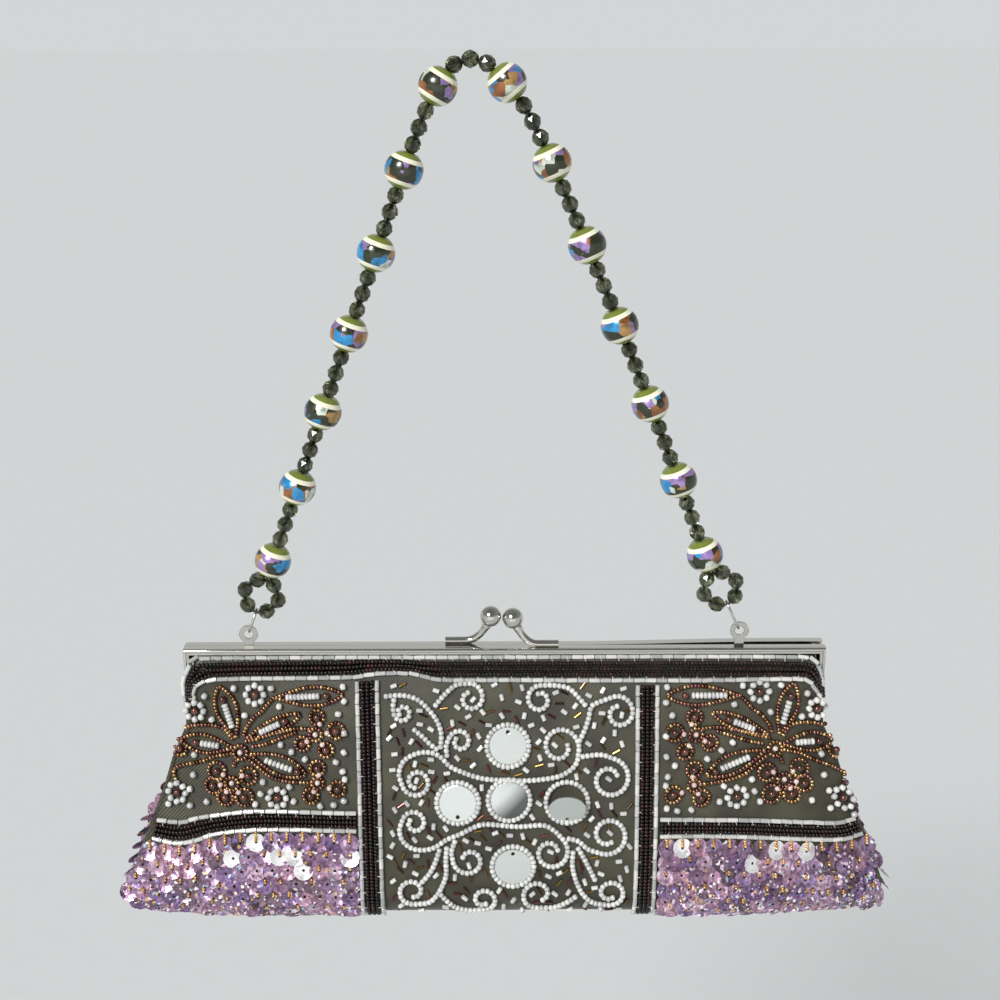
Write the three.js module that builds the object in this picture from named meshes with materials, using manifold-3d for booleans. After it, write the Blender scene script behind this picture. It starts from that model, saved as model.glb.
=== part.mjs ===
// Beaded clutch purse with a kiss-lock metal frame and a strap of strung beads, as it hangs.
// Millimetres, +Z up. The front faces -Y and the width runs along X.
// The origin is the hanging point, on the underside of the strap's top bead.
import * as THREE from "three";
import { mergeVertices } from "three/addons/utils/BufferGeometryUtils.js";
import Module from "manifold-3d";

const wasm = await Module();
wasm.setup();

// The middle of the frame's top face, below and beside the hanging point
const BAG = new THREE.Vector3(11, 0, -208);

// Clearance between pieces that touch
const GAP = 0.3;

// Metal frame: two channel halves, heights counted down from the top face
const FRAME = {
  width: 240,
  depth: 8.4,
  slot: 0.4,
  sheet: 1,
  edgeRadius: 0.8,
  edgeSteps: 3,
  lip: 2.3,
  innerWall: 4,
  innerHalfWidth: 114.2,
  legLip: 2.1,
  leg: 31,
};

// Leg ends: round ears on one rivet, the back half's ears joggled inwards past the front's
const HINGE = { drop: 28, ear: 2.6, bore: 1.1, boreLength: 6, joggle: 2.2, joggleDrop: 24.8, sides: 12 };
const RIVET = { shank: 0.8, head: 1.6, headThickness: 0.5, sides: 8 };

// Clasp: a bent wire on each half that carries a ball, the two balls meeting side by side.
// Each wire runs from its foot on the top plate up to its ball; the halves differ in the ball's height.
const CLASP = { ball: 3.95, ballX: 4.1, ballSides: 10, ballRows: 7, wire: 1.4, wireSides: 8, steps: 10 };
const CLASP_ROUTE = [
  { x: 21.2, y: -1.7, z: 1.25 },
  { x: 16.4, y: -1.7, z: 1.25 },
  { x: 11.6, y: -1.7, z: 1.55 },
  { x: 8.2, y: -1.2, z: 3.9 },
  { x: 5.7, y: -0.5, z: 7.7 },
];
const CLASP_HALVES = {
  front: { centre: -1, ballZ: 10.8 },
  back: { centre: 1, ballZ: 11.6 },
};

// Strap eyes: stamped tabs on the front half, one for each end of the strap
const EYE = { head: 3.5, headSteps: 7, hole: 1.7, holeSides: 12, neck: 3.6, thickness: 0.9, root: 2 };
const EYES = [
  { side: "left", x: -95.6, z: 5 },
  { side: "right", x: 87.8, z: 6 },
];

// Cloth pouch: sections down from the frame's top face, with the half width, the half depth in the middle
// (belly) and along the side seams (edge), and how far the gusset tucks in between the seams
const CLOTH = 1.4;
const FLATNESS = 5;
const FRONT_STEPS = 14;
const GUSSET_STEPS = 4;
const SECTIONS = [
  { z: -1.4, width: 116.4, belly: 2.9, edge: 2.9, tuck: 0 },
  { z: -3, width: 116.4, belly: 3.1, edge: 2.9, tuck: 0 },
  { z: -6, width: 116.4, belly: 4.5, edge: 3, tuck: 0 },
  { z: -18, width: 116.4, belly: 8.6, edge: 3.5, tuck: 0.3 },
  { z: -30, width: 116.6, belly: 12.2, edge: 3.7, tuck: 1 },
  { z: -34, width: 122, belly: 13.4, edge: 5, tuck: 3 },
  { z: -40, width: 125, belly: 15, edge: 6.4, tuck: 5 },
  { z: -52, width: 129, belly: 17.6, edge: 9, tuck: 7 },
  { z: -66, width: 134.5, belly: 20.4, edge: 12, tuck: 6.5 },
  { z: -82, width: 141, belly: 22.6, edge: 15, tuck: 4.5 },
  { z: -93, width: 144.5, belly: 23, edge: 16, tuck: 2 },
  { z: -100, width: 143, belly: 20.5, edge: 14, tuck: 0.5 },
  { z: -104.6, width: 137.5, belly: 14, edge: 9, tuck: 0 },
  { z: -106, width: 130, belly: 7, edge: 4, tuck: 0 },
];

// Mirror paillettes on the front: place on the cloth, clock angle of the sewing hole, forward tilt
const MIRROR = { radius: 7, thickness: 0.7, sides: 16, hole: 0.7, holeAt: 5.3, holeSides: 6 };
const MIRRORS = [
  { name: "top", x: 1.2, z: -34.9, holeAngle: 90, tilt: 0 },
  { name: "left", x: -17.6, z: -55.8, holeAngle: -90, tilt: 0 },
  { name: "centre", x: 1.6, z: -54.9, holeAngle: null, tilt: 0 },
  { name: "right", x: 23.3, z: -55.9, holeAngle: -90, tilt: 34 },
  { name: "bottom", x: 3, z: -80.5, holeAngle: 90, tilt: 0 },
];

// Strap: large beads with three small faceted ones between each pair, strung on one thread.
// From level at the top the strand eases into its lean, which slackens a little on the way down.
const SMALL = { length: 6, radius: 3, shoulder: 2.35, shoulderAt: 2.1, sides: 10 };
const LARGE = { length: 11.5, radius: 6.7, bore: 1, sides: 10, perSide: 7, smallBetween: 3 };
// The large bead's outline from its middle to its end, as shares of its radius and half length
const LARGE_OUTLINE = [
  { across: 1, along: 0.2 },
  { across: 0.84, along: 0.66 },
  { across: 0.45, along: 1 },
];
const THREAD = 0.6;
const STRANDS = [
  { side: "left", sign: -1, lean: 20, ease: 8.1, slackening: 0, pitchGap: 0.5 },
  { side: "right", sign: 1, lean: 25.2, ease: 10.5, slackening: 0.026, pitchGap: 1 },
];

// End loops: six small beads round a ring, with a wider gap at the foot for the jump ring
const LOOP = { radius: 6.35, beads: 6, footHalfGap: 35.6, belowBead: 14.7, foot: 7 };
const JUMP_RING = { wire: 0.45, halfWidth: 2.9, steps: 16, sides: 5 };

const NICKEL = new THREE.MeshStandardMaterial({ color: 0xb9b7ad, roughness: 0.28, metalness: 1 });
const SATIN = new THREE.MeshStandardMaterial({ color: 0x5a5a4e, roughness: 0.6, metalness: 0 });
const SILVER = new THREE.MeshStandardMaterial({ color: 0xd8dade, roughness: 0.08, metalness: 1 });
const SMOKY_GLASS = new THREE.MeshStandardMaterial({ color: 0x4b4e36, roughness: 0.12, metalness: 0 });
const INLAID_RESIN = new THREE.MeshStandardMaterial({ color: 0x77842c, roughness: 0.2, metalness: 0 });

const radians = THREE.MathUtils.degToRad;

// Corners of a regular polygon that stands for a circle.
function circle(radius, sides, x = 0, y = 0) {
  return Array.from({ length: sides }, (_, k) => {
    const angle = (k * 2 * Math.PI) / sides;
    return new THREE.Vector2(x + radius * Math.cos(angle), y + radius * Math.sin(angle));
  });
}

// Keeps only positions, welds them and turns the faces outwards.
function closedBody(geometry) {
  const bare = new THREE.BufferGeometry();
  bare.setAttribute("position", geometry.getAttribute("position").clone());
  bare.setIndex(geometry.getIndex());
  const welded = mergeVertices(bare, 1e-4);
  const place = welded.getAttribute("position");
  const [a, b, c] = [new THREE.Vector3(), new THREE.Vector3(), new THREE.Vector3()];
  const kept = [];
  let volume = 0;
  const index = welded.getIndex().array;
  for (let i = 0; i < index.length; i += 3) {
    const [p, q, r] = [index[i], index[i + 1], index[i + 2]];
    if (p === q || q === r || r === p) {
      continue;
    }
    kept.push(p, q, r);
    a.fromBufferAttribute(place, p);
    b.fromBufferAttribute(place, q);
    c.fromBufferAttribute(place, r);
    volume += a.dot(b.cross(c));
  }
  welded.setIndex(volume < 0 ? kept.reverse() : kept);
  return welded;
}

// A closed body as a solid that can be joined and cut.
function solid(geometry) {
  const body = closedBody(geometry);
  const vertProperties = new Float32Array(body.getAttribute("position").array);
  const triVerts = new Uint32Array(body.getIndex().array);
  return new wasm.Manifold(new wasm.Mesh({ numProp: 3, vertProperties, triVerts }));
}

function geometryOf(manifold) {
  const mesh = manifold.getMesh();
  const geometry = new THREE.BufferGeometry();
  geometry.setAttribute("position", new THREE.BufferAttribute(new Float32Array(mesh.vertProperties), 3));
  geometry.setIndex([...mesh.triVerts]);
  return geometry;
}

function joined(geometries) {
  const solids = geometries.map(solid);
  return geometryOf(solids.reduce((sum, next) => sum.add(next)));
}

// A skin through rings of equally many points, the end rings filled, or the last joined to the first.
// Odd rings may be turned by half a step, so the diagonals alternate.
function ringSkin(rings, endless = false) {
  const count = rings[0].length;
  const positions = rings.flat().flatMap((point) => point.toArray());
  const index = [];
  const bands = endless ? rings.length : rings.length - 1;
  for (let k = 0; k < bands; k++) {
    const here = k * count;
    const there = ((k + 1) % rings.length) * count;
    for (let j = 0; j < count; j++) {
      const next = (j + 1) % count;
      if (k % 2 === 0) {
        index.push(here + j, here + next, there + j, there + j, here + next, there + next);
      } else {
        index.push(here + j, here + next, there + next, here + j, there + next, there + j);
      }
    }
  }
  if (!endless) {
    const last = (rings.length - 1) * count;
    zigzag(count).forEach(([p, q, r]) => {
      index.push(r, q, p, last + p, last + q, last + r);
    });
  }
  const geometry = new THREE.BufferGeometry();
  geometry.setAttribute("position", new THREE.Float32BufferAttribute(positions, 3));
  geometry.setIndex(index);
  return closedBody(geometry);
}

// Triangles that fill a convex ring, back and forth between its two sides.
function zigzag(count) {
  const triangles = [];
  let low = 0;
  let high = count - 1;
  while (low + 1 < high) {
    triangles.push([low, low + 1, high]);
    low += 1;
    if (low + 1 < high) {
      triangles.push([low, high - 1, high]);
      high -= 1;
    }
  }
  return triangles;
}

function box(x0, x1, y0, y1, z0, z1) {
  const block = new THREE.BoxGeometry(x1 - x0, y1 - y0, z1 - z0);
  return block.translate((x0 + x1) / 2, (y0 + y1) / 2, (z0 + z1) / 2);
}

// A disc across X, centred on the hinge line.
function earDisc(x0, x1, radius) {
  const disc = new THREE.CylinderGeometry(radius, radius, x1 - x0, HINGE.sides);
  return disc.rotateZ(Math.PI / 2).translate((x0 + x1) / 2, 0, -HINGE.drop);
}

// The frame's top bar: front lip, top plate with a rounded edge, extruded along X.
function topBar() {
  const { width, lip, sheet, edgeRadius, edgeSteps } = FRAME;
  const front = -FRAME.depth / 2;
  const back = -FRAME.slot / 2;
  const profile = new THREE.Shape();
  profile.moveTo(back, 0);
  profile.lineTo(front + edgeRadius, 0);
  profile.absarc(front + edgeRadius, -edgeRadius, edgeRadius, Math.PI / 2, Math.PI, false);
  profile.lineTo(front, -lip);
  profile.lineTo(front + sheet, -lip);
  profile.lineTo(front + sheet, -sheet);
  profile.lineTo(back, -sheet);
  const along = { depth: width, bevelEnabled: false, curveSegments: edgeSteps };
  const bar = new THREE.ExtrudeGeometry(profile, along);
  const acrossX = new THREE.Matrix4().makeBasis(
    new THREE.Vector3(0, 1, 0),
    new THREE.Vector3(0, 0, 1),
    new THREE.Vector3(1, 0, 0),
  );
  return bar.applyMatrix4(acrossX).translate(-width / 2, 0, 0);
}

// One leg of the front half: a side plate with a narrow lip, ending in an ear on the hinge line.
// A joggled leg ends higher, and its ear steps inwards on a tongue.
function leg(side, joggled) {
  const outside = FRAME.width / 2;
  const front = -FRAME.depth / 2;
  const back = -FRAME.slot / 2;
  const foot = -(joggled ? HINGE.joggleDrop : FRAME.leg);
  const plate = outside - FRAME.sheet;
  const tongue = outside - FRAME.sheet - GAP;
  const pieces = [
    box(plate, outside, front, back, foot, 0),
    box(outside - FRAME.legLip, outside, front, front + FRAME.sheet, foot, 0),
  ];
  if (joggled) {
    pieces.push(
      box(tongue - FRAME.sheet, outside, front, back, foot, foot + HINGE.joggle),
      box(tongue - FRAME.sheet, tongue, -HINGE.ear, back, -HINGE.drop, foot + HINGE.joggle),
      earDisc(tongue - FRAME.sheet, tongue, HINGE.ear),
    );
  } else {
    pieces.push(earDisc(plate, outside, HINGE.ear));
  }
  return side < 0 ? pieces.map((piece) => piece.rotateZ(Math.PI).scale(1, -1, 1)) : pieces;
}

// The clasp wire of the front half, from its foot along the top plate up to the ball.
function claspArm({ centre, ballZ }) {
  const bends = CLASP_ROUTE.map(({ x, y, z }) => new THREE.Vector3(x, y, z));
  const route = new THREE.CatmullRomCurve3([...bends, new THREE.Vector3(CLASP.ballX, 0, ballZ)]);
  const section = new THREE.Shape(circle(CLASP.wire, CLASP.wireSides));
  const bend = { extrudePath: route, steps: CLASP.steps, bevelEnabled: false };
  const wire = new THREE.ExtrudeGeometry(section, bend);
  const ball = new THREE.SphereGeometry(CLASP.ball, CLASP.ballSides, CLASP.ballRows);
  ball.translate(CLASP.ballX, 0, ballZ);
  return [wire, ball].map((piece) => piece.translate(centre, 0, 0));
}

// A stamped tab with a round eye, standing on the front half's inner edge.
function strapEye({ x, z }) {
  const shape = new THREE.Shape();
  const neckAngle = Math.asin(EYE.neck / 2 / EYE.head);
  shape.moveTo(-EYE.neck / 2, -EYE.root - z);
  shape.lineTo(EYE.neck / 2, -EYE.root - z);
  shape.absarc(0, 0, EYE.head, neckAngle - Math.PI / 2, 1.5 * Math.PI - neckAngle, false);
  shape.holes.push(new THREE.Path(circle(EYE.hole, EYE.holeSides)));
  const through = { depth: EYE.thickness, bevelEnabled: false, curveSegments: EYE.headSteps };
  const tab = new THREE.ExtrudeGeometry(shape, through);
  return tab.rotateX(Math.PI / 2).translate(x, -FRAME.slot / 2, z);
}

// One half of the frame as the front half is built; the back half is the same turned round.
function frameHalf({ joggled, clasp, eyes }) {
  const back = -FRAME.slot / 2;
  const wall = FRAME.innerHalfWidth;
  const metal = joined([
    topBar(),
    box(-wall, wall, back - FRAME.sheet, back, -FRAME.innerWall, 0),
    ...leg(1, joggled),
    ...leg(-1, joggled),
    ...claspArm(clasp),
    ...eyes.map(strapEye),
  ]);
  const plate = (FRAME.width - FRAME.sheet) / 2;
  const bores = [-plate, plate].map((x) => {
    return earDisc(x - HINGE.boreLength / 2, x + HINGE.boreLength / 2, HINGE.bore);
  });
  return geometryOf(bores.map(solid).reduce((left, bore) => left.subtract(bore), solid(metal)));
}

// A rivet through a pair of ears, its axis turned to X.
function hingePin(side) {
  const inner = FRAME.width / 2 - 2 * FRAME.sheet - 2 * GAP;
  const outer = FRAME.width / 2 + GAP;
  const { shank, head, headThickness } = RIVET;
  const profile = [
    [0, inner - headThickness],
    [head, inner - headThickness],
    [head, inner],
    [shank, inner],
    [shank, outer],
    [head, outer],
    [head, outer + headThickness],
    [0, outer + headThickness],
  ].map(([radius, along]) => new THREE.Vector2(radius, along));
  const pin = new THREE.LatheGeometry(profile, RIVET.sides);
  return closedBody(pin.rotateZ(-side * Math.PI / 2).translate(0, 0, -HINGE.drop));
}

// Half depth of the cloth at a place across the section.
function sectionDepth({ width, belly, edge }, x) {
  return edge + (belly - edge) * (1 - Math.min(Math.abs(x) / width, 1) ** FLATNESS);
}

// A section's outline, from the middle of the left gusset along the front and round the back.
function sectionRing(section) {
  const { z, width, edge, tuck } = section;
  const points = [];
  const gusset = (side, y) => {
    const x = side * (width - tuck * (1 - (y / edge) ** 2));
    points.push(new THREE.Vector3(x, y, z));
  };
  const face = (facing) => {
    for (let i = 0; i <= FRONT_STEPS; i++) {
      const x = -facing * width * Math.sin((Math.PI / 2) * ((2 * i) / FRONT_STEPS - 1));
      points.push(new THREE.Vector3(x, facing * sectionDepth(section, x), z));
    }
  };
  const step = (2 * edge) / GUSSET_STEPS;
  for (let y = 0; y > -edge + step / 2; y -= step) {
    gusset(-1, y);
  }
  face(-1);
  for (let y = -edge + step; y < edge - step / 2; y += step) {
    gusset(1, y);
  }
  face(1);
  for (let y = edge - step; y > step / 2; y -= step) {
    gusset(-1, y);
  }
  return points;
}

// The same section moved inwards by the cloth's thickness, square to the belly's profile.
function innerSection(section, k) {
  if (k === 0) {
    return { ...section, ...insetSizes(section, CLOTH) };
  }
  const above = SECTIONS[k - 1];
  const below = SECTIONS[Math.min(k + 1, SECTIONS.length - 1)];
  const [out, down] = [above.z - below.z, above.belly - below.belly];
  const length = Math.hypot(out, down);
  const inset = insetSizes(section, (CLOTH * out) / length);
  return { ...section, ...inset, z: section.z + (CLOTH * down) / length };
}

function insetSizes({ width, belly, edge }, by) {
  return { width: width - by, belly: belly - by, edge: edge - by };
}

// The cloth as one skin: up the inside from the base, over the mouth's edge and down the outside.
function pouch() {
  const inside = SECTIONS.map(innerSection).reverse().map(sectionRing);
  const outside = SECTIONS.map(sectionRing);
  return ringSkin([...inside, ...outside]);
}

// Half depth of the pouch's front at a place on it, straight between the sections.
function frontDepth(x, z) {
  const k = SECTIONS.findIndex((section, i) => i > 0 && section.z <= z);
  const [above, below] = [SECTIONS[k - 1], SECTIONS[k]];
  const share = (above.z - z) / (above.z - below.z);
  return THREE.MathUtils.lerp(sectionDepth(above, x), sectionDepth(below, x), share);
}

// A silvered disc with its sewing hole, laid on the cloth, or tilted forward about its foot.
function mirrorMesh({ name, x, z, holeAngle, tilt }) {
  const outline = new THREE.Shape(circle(MIRROR.radius, MIRROR.sides));
  if (holeAngle !== null) {
    const holeX = MIRROR.holeAt * Math.cos(radians(holeAngle));
    const holeY = MIRROR.holeAt * Math.sin(radians(holeAngle));
    outline.holes.push(new THREE.Path(circle(MIRROR.hole, MIRROR.holeSides, holeX, holeY)));
  }
  const disc = new THREE.ExtrudeGeometry(outline, { depth: MIRROR.thickness, bevelEnabled: false });
  disc.translate(0, MIRROR.radius, 0).rotateX(radians(tilt)).translate(0, -MIRROR.radius, 0);

  const reach = MIRROR.radius;
  const slope = (frontDepth(x, z - reach) - frontDepth(x, z + reach)) / (2 * reach);
  const turn = (frontDepth(x + reach, z) - frontDepth(x - reach, z)) / (2 * reach);
  const outwards = new THREE.Vector3(-turn, -1, slope).normalize();
  const right = new THREE.Vector3(0, 0, 1).cross(outwards).normalize();
  const up = outwards.clone().cross(right);

  const mesh = new THREE.Mesh(closedBody(disc), SILVER);
  mesh.name = `mirror_${name}`;
  mesh.quaternion.setFromRotationMatrix(new THREE.Matrix4().makeBasis(right, up, outwards));
  mesh.position.set(x, -frontDepth(x, z), z).addScaledVector(outwards, 2 * GAP);
  return mesh;
}

// The beads of one strand from the top down, each lying along its own straight stretch of thread.
// The left strand also holds the bead at the very top.
function strandBeads({ sign, lean, ease, slackening, pitchGap }) {
  const sizes = ["small"];
  for (let k = 0; k < LARGE.perSide; k++) {
    sizes.push("large");
    if (k < LARGE.perSide - 1) {
      sizes.push(...Array(LARGE.smallBetween).fill("small"));
    }
  }
  const beads = [];
  const foot = new THREE.Vector3((sign * SMALL.length) / 2, 0, SMALL.radius);
  if (sign < 0) {
    const axis = new THREE.Vector3(sign, 0, 0);
    const centre = new THREE.Vector3(0, 0, SMALL.radius);
    beads.push({ size: "small", axis, length: SMALL.length, centre });
  }
  let run = SMALL.length / 2;
  for (const size of sizes) {
    const length = size === "small" ? SMALL.length : LARGE.length + pitchGap;
    const middle = run + length / 2;
    const angle = radians(lean + (90 - lean) * Math.exp(-middle / ease) - slackening * middle);
    const axis = new THREE.Vector3(sign * Math.sin(angle), 0, -Math.cos(angle));
    beads.push({ size, axis, length, centre: foot.clone().addScaledVector(axis, length / 2) });
    foot.addScaledVector(axis, length);
    run += length;
  }
  return beads;
}

// A ring of points round a place on the thread, square to it.
function threadRing(centre, axis, radius, turned, sides = SMALL.sides) {
  const across = new THREE.Vector3(0, 1, 0);
  const aside = axis.clone().cross(across);
  return Array.from({ length: sides }, (_, j) => {
    const angle = ((j + (turned ? 0.5 : 0)) * 2 * Math.PI) / sides;
    const spoke = across.clone().multiplyScalar(Math.cos(angle)).addScaledVector(aside, Math.sin(angle));
    return spoke.multiplyScalar(radius).add(centre);
  });
}

// Rings of one faceted bead after its first neck: shoulder, waist, shoulder.
function facetRings({ centre, axis }) {
  const at = (along) => centre.clone().addScaledVector(axis, along);
  return [
    threadRing(at(-SMALL.shoulderAt), axis, SMALL.shoulder, true),
    threadRing(at(0), axis, SMALL.radius, false),
    threadRing(at(SMALL.shoulderAt), axis, SMALL.shoulder, true),
  ];
}

// Where the end of a strand hangs: the loop's middle, the way down to the eye and the eye itself.
function strandEnd(side, beads) {
  const { x, z } = EYES.find((eye) => eye.side === side);
  const eye = new THREE.Vector3(x, -FRAME.slot / 2 - EYE.thickness / 2, z).add(BAG);
  const last = beads[beads.length - 1].centre;
  const down = new THREE.Vector3(eye.x - last.x, 0, eye.z - last.z).normalize();
  const loop = last.clone().addScaledVector(down, LOOP.belowBead);
  return { eye, down, loop };
}

// The thread with its small beads as one body; it runs bare through the large beads.
function strand(beads, end) {
  const start = beads[0];
  const trim = beads[0].size === "small" ? GAP / 2 : 0;
  const head = start.centre.clone().addScaledVector(start.axis, trim - start.length / 2);
  const rings = [threadRing(head, start.axis, THREAD, false)];
  beads.forEach((bead) => {
    if (bead.size === "small") {
      rings.push(...facetRings(bead));
    } else {
      rings.push(threadRing(bead.centre, bead.axis, THREAD, true));
    }
    const neck = bead.centre.clone().addScaledVector(bead.axis, bead.length / 2);
    rings.push(threadRing(neck, bead.axis, THREAD, false));
  });
  const tail = end.loop.clone().addScaledVector(end.down, -LOOP.radius);
  rings.push(threadRing(tail, end.down, THREAD, true));
  return joined([ringSkin(rings), beadLoop(end)]);
}

// The closed loop of small beads at a strand's end, its foot towards the eye.
function beadLoop({ loop, down }) {
  const aside = new THREE.Vector3(0, 1, 0).cross(down);
  const spacing = radians((360 - 2 * LOOP.footHalfGap) / (LOOP.beads - 1));
  const onLoop = (angle, radius) =>
    loop
      .clone()
      .addScaledVector(down, radius * Math.cos(angle))
      .addScaledVector(aside, radius * Math.sin(angle));
  const tangent = (angle) =>
    down
      .clone()
      .multiplyScalar(-Math.sin(angle))
      .addScaledVector(aside, Math.cos(angle));
  const neckRadius = LOOP.radius / Math.cos(spacing / 2) - THREAD / 2;
  const rings = [];
  for (let k = 0; k < LOOP.beads; k++) {
    const angle = radians(LOOP.footHalfGap) + k * spacing;
    const bead = { centre: onLoop(angle, LOOP.radius), axis: tangent(angle) };
    const tip = (sign) => bead.centre.clone().addScaledVector(bead.axis, (sign * SMALL.length) / 2);
    if (k === 0) {
      rings.push(threadRing(tip(-1), bead.axis, THREAD, false));
    }
    rings.push(...facetRings(bead));
    if (k < LOOP.beads - 1) {
      const neck = angle + spacing / 2;
      rings.push(threadRing(onLoop(neck, neckRadius), tangent(neck), THREAD, false));
    } else {
      rings.push(threadRing(tip(1), bead.axis, THREAD, false));
    }
  }
  rings.push(threadRing(onLoop(0, LOOP.foot), tangent(0), THREAD, true));
  return ringSkin(rings, true);
}

// A large drilled bead, turned about its own axis from a closed profile.
function largeBead() {
  const { radius, bore, length, sides } = LARGE;
  const end = length / 2;
  const upper = LARGE_OUTLINE.map(({ across, along }) => new THREE.Vector2(radius * across, end * along));
  const lower = upper.map(({ x, y }) => new THREE.Vector2(x, -y)).reverse();
  const mouth = new THREE.Vector2(bore, -end);
  const profile = [mouth, ...lower, ...upper, new THREE.Vector2(bore, end), mouth];
  return closedBody(new THREE.LatheGeometry(profile, sides));
}

// An oval wire ring through the strap eye and round the loop's foot thread.
function jumpRing({ eye, down, loop }) {
  const low = eye.clone().addScaledVector(down, -(EYE.hole - JUMP_RING.wire - GAP));
  const insideFoot = LOOP.foot - THREAD - JUMP_RING.wire - GAP;
  const high = loop.clone().addScaledVector(down, insideFoot);
  const centre = low.clone().add(high).multiplyScalar(0.5);
  const long = low.clone().sub(high).multiplyScalar(0.5);
  const wide = new THREE.Vector3(0, 1, 0).cross(long).normalize().cross(long).normalize();
  wide.multiplyScalar(JUMP_RING.halfWidth);
  const level = long.clone().cross(wide).normalize();
  const between = (first, second, angle) =>
    first
      .clone()
      .multiplyScalar(Math.cos(angle))
      .addScaledVector(second, Math.sin(angle));
  const rings = Array.from({ length: JUMP_RING.steps }, (_, k) => {
    const angle = (k * 2 * Math.PI) / JUMP_RING.steps;
    const point = between(long, wide, angle).add(centre);
    const ahead = between(long, wide, angle + Math.PI / 2).normalize();
    const outwards = ahead.cross(level);
    return Array.from({ length: JUMP_RING.sides }, (_, j) => {
      const turn = ((j + (k % 2) / 2) * 2 * Math.PI) / JUMP_RING.sides;
      return between(outwards, level, turn).multiplyScalar(JUMP_RING.wire).add(point);
    });
  });
  return ringSkin(rings, true);
}

function named(name, geometry, material) {
  const mesh = new THREE.Mesh(geometry, material);
  mesh.name = name;
  return mesh;
}

// The bag: frame, hinge pins, pouch and mirrors in one group below the strap
function bag() {
  const group = new THREE.Group();
  group.position.copy(BAG);
  const front = frameHalf({ joggled: false, clasp: CLASP_HALVES.front, eyes: EYES });
  const back = frameHalf({ joggled: true, clasp: CLASP_HALVES.back, eyes: [] });
  group.add(named("frame_front", front, NICKEL));
  group.add(named("frame_back", back.rotateZ(Math.PI), NICKEL));
  group.add(named("hinge_pin_left", hingePin(-1), NICKEL));
  group.add(named("hinge_pin_right", hingePin(1), NICKEL));
  group.add(named("pouch", pouch(), SATIN));
  MIRRORS.forEach((row) => group.add(mirrorMesh(row)));
  return group;
}

// One side of the strap: the strand, its large beads and the ring at its end
function strapSide(row) {
  const group = new THREE.Group();
  const beads = strandBeads(row);
  const end = strandEnd(row.side, beads);
  group.add(named(`strap_strand_${row.side}`, strand(beads, end), SMOKY_GLASS));
  const large = beads.filter((bead) => bead.size === "large");
  large.forEach((bead, k) => {
    const mesh = named(`bead_${row.side}_${k + 1}`, largeBead(), INLAID_RESIN);
    mesh.quaternion.setFromUnitVectors(new THREE.Vector3(0, 1, 0), bead.axis);
    mesh.position.copy(bead.centre);
    group.add(mesh);
  });
  group.add(named(`jump_ring_${row.side}`, jumpRing(end), NICKEL));
  return group;
}

const clutch = new THREE.Group();
clutch.add(bag());
STRANDS.forEach((row) => clutch.add(strapSide(row)));

export default clutch;
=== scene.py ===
"""Looks of a beaded frame clutch that hangs by a strap of beads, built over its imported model.

Lengths in the tables are millimetres, and meshes are made in metres. A place on the bag is counted from the
middle of the frame's top face: x to the right, y to the back, z up. A place on the cloth is a pair: across,
which is x and carries on round the side seam once it passes it, and girth, the way down the front along the
cloth, under the base and up the back. Charts give across and drop, the height below the frame's top face.
"""

import bpy
import numpy as np
from mathutils import Matrix


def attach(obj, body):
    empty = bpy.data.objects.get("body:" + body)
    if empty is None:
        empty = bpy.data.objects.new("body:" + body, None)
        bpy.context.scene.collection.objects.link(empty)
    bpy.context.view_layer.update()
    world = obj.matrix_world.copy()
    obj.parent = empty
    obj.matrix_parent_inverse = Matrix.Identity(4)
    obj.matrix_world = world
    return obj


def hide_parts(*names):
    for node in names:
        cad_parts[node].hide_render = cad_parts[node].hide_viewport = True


bl_info = {
    "name": "Beaded clutch",
    "version": (1, 0, 0),
    "blender": (4, 5, 0),
    "location": "3D View > Sidebar > Clutch",
    "description": "Builds the looks of a beaded frame clutch over its packed model",
    "category": "Mesh",
}

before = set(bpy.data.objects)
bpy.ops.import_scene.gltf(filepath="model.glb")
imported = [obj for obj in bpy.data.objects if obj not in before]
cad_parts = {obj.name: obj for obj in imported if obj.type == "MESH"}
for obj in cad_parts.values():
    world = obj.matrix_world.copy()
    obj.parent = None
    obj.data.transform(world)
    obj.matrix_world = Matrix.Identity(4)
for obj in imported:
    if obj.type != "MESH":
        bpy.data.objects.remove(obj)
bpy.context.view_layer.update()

MM = 0.001

# The middle of the frame's top face, from the hanging point
BAG = np.array((11.0, 0.0, -208.0))

# Frame halves: channels of sheet metal with legs, as the front half lies
FRAME = {"half_width": 120.0, "leg": 31.0, "wall": 114.2, "steps": 25}
HINGE = {"drop": 28.0, "ear": 2.6, "joggle_drop": 24.8, "plate": 119.0, "plate_top": 2.0,
         "tongue": 117.7, "tongue_top": 5.4}
RIVET = {"shank": 0.8, "head": 1.6, "inner": 117.4, "outer": 120.3, "dome": 0.6}

# Thickness of the frame's sheet metal and its broken edges
SHEET = 1.0
EDGE = 0.15

# Channel's section from its back edge over the top and down the front lip: how far in from the outer
# face, and y, of the outside of the sheet and of its inside
CHANNEL = (
    (0.00, -0.05, 1.00, -0.05),
    (0.00, -1.80, 1.00, -1.80),
    (0.00, -3.40, 1.00, -3.15),
    (0.06, -3.71, 1.02, -3.17),
    (0.23, -3.97, 1.06, -3.20),
    (0.49, -4.14, 1.10, -3.20),
    (0.80, -4.20, 1.14, -3.20),
    (1.02, -4.14, 1.20, -3.20),
    (1.12, -3.88, 1.30, -3.20),
    (1.28, -3.84, 1.40, -3.20),
    (1.42, -4.04, 1.50, -3.20),
    (1.90, -4.08, 1.85, -3.20),
    (2.20, -4.00, 2.10, -3.25),
    (2.30, -3.75, 2.26, -3.45),
)

# Channel's inner wall, as rows of the same kind
WALL = ((0.5, -1.05, 0.5, -0.05), (4.0, -1.05, 4.0, -0.05))

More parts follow.
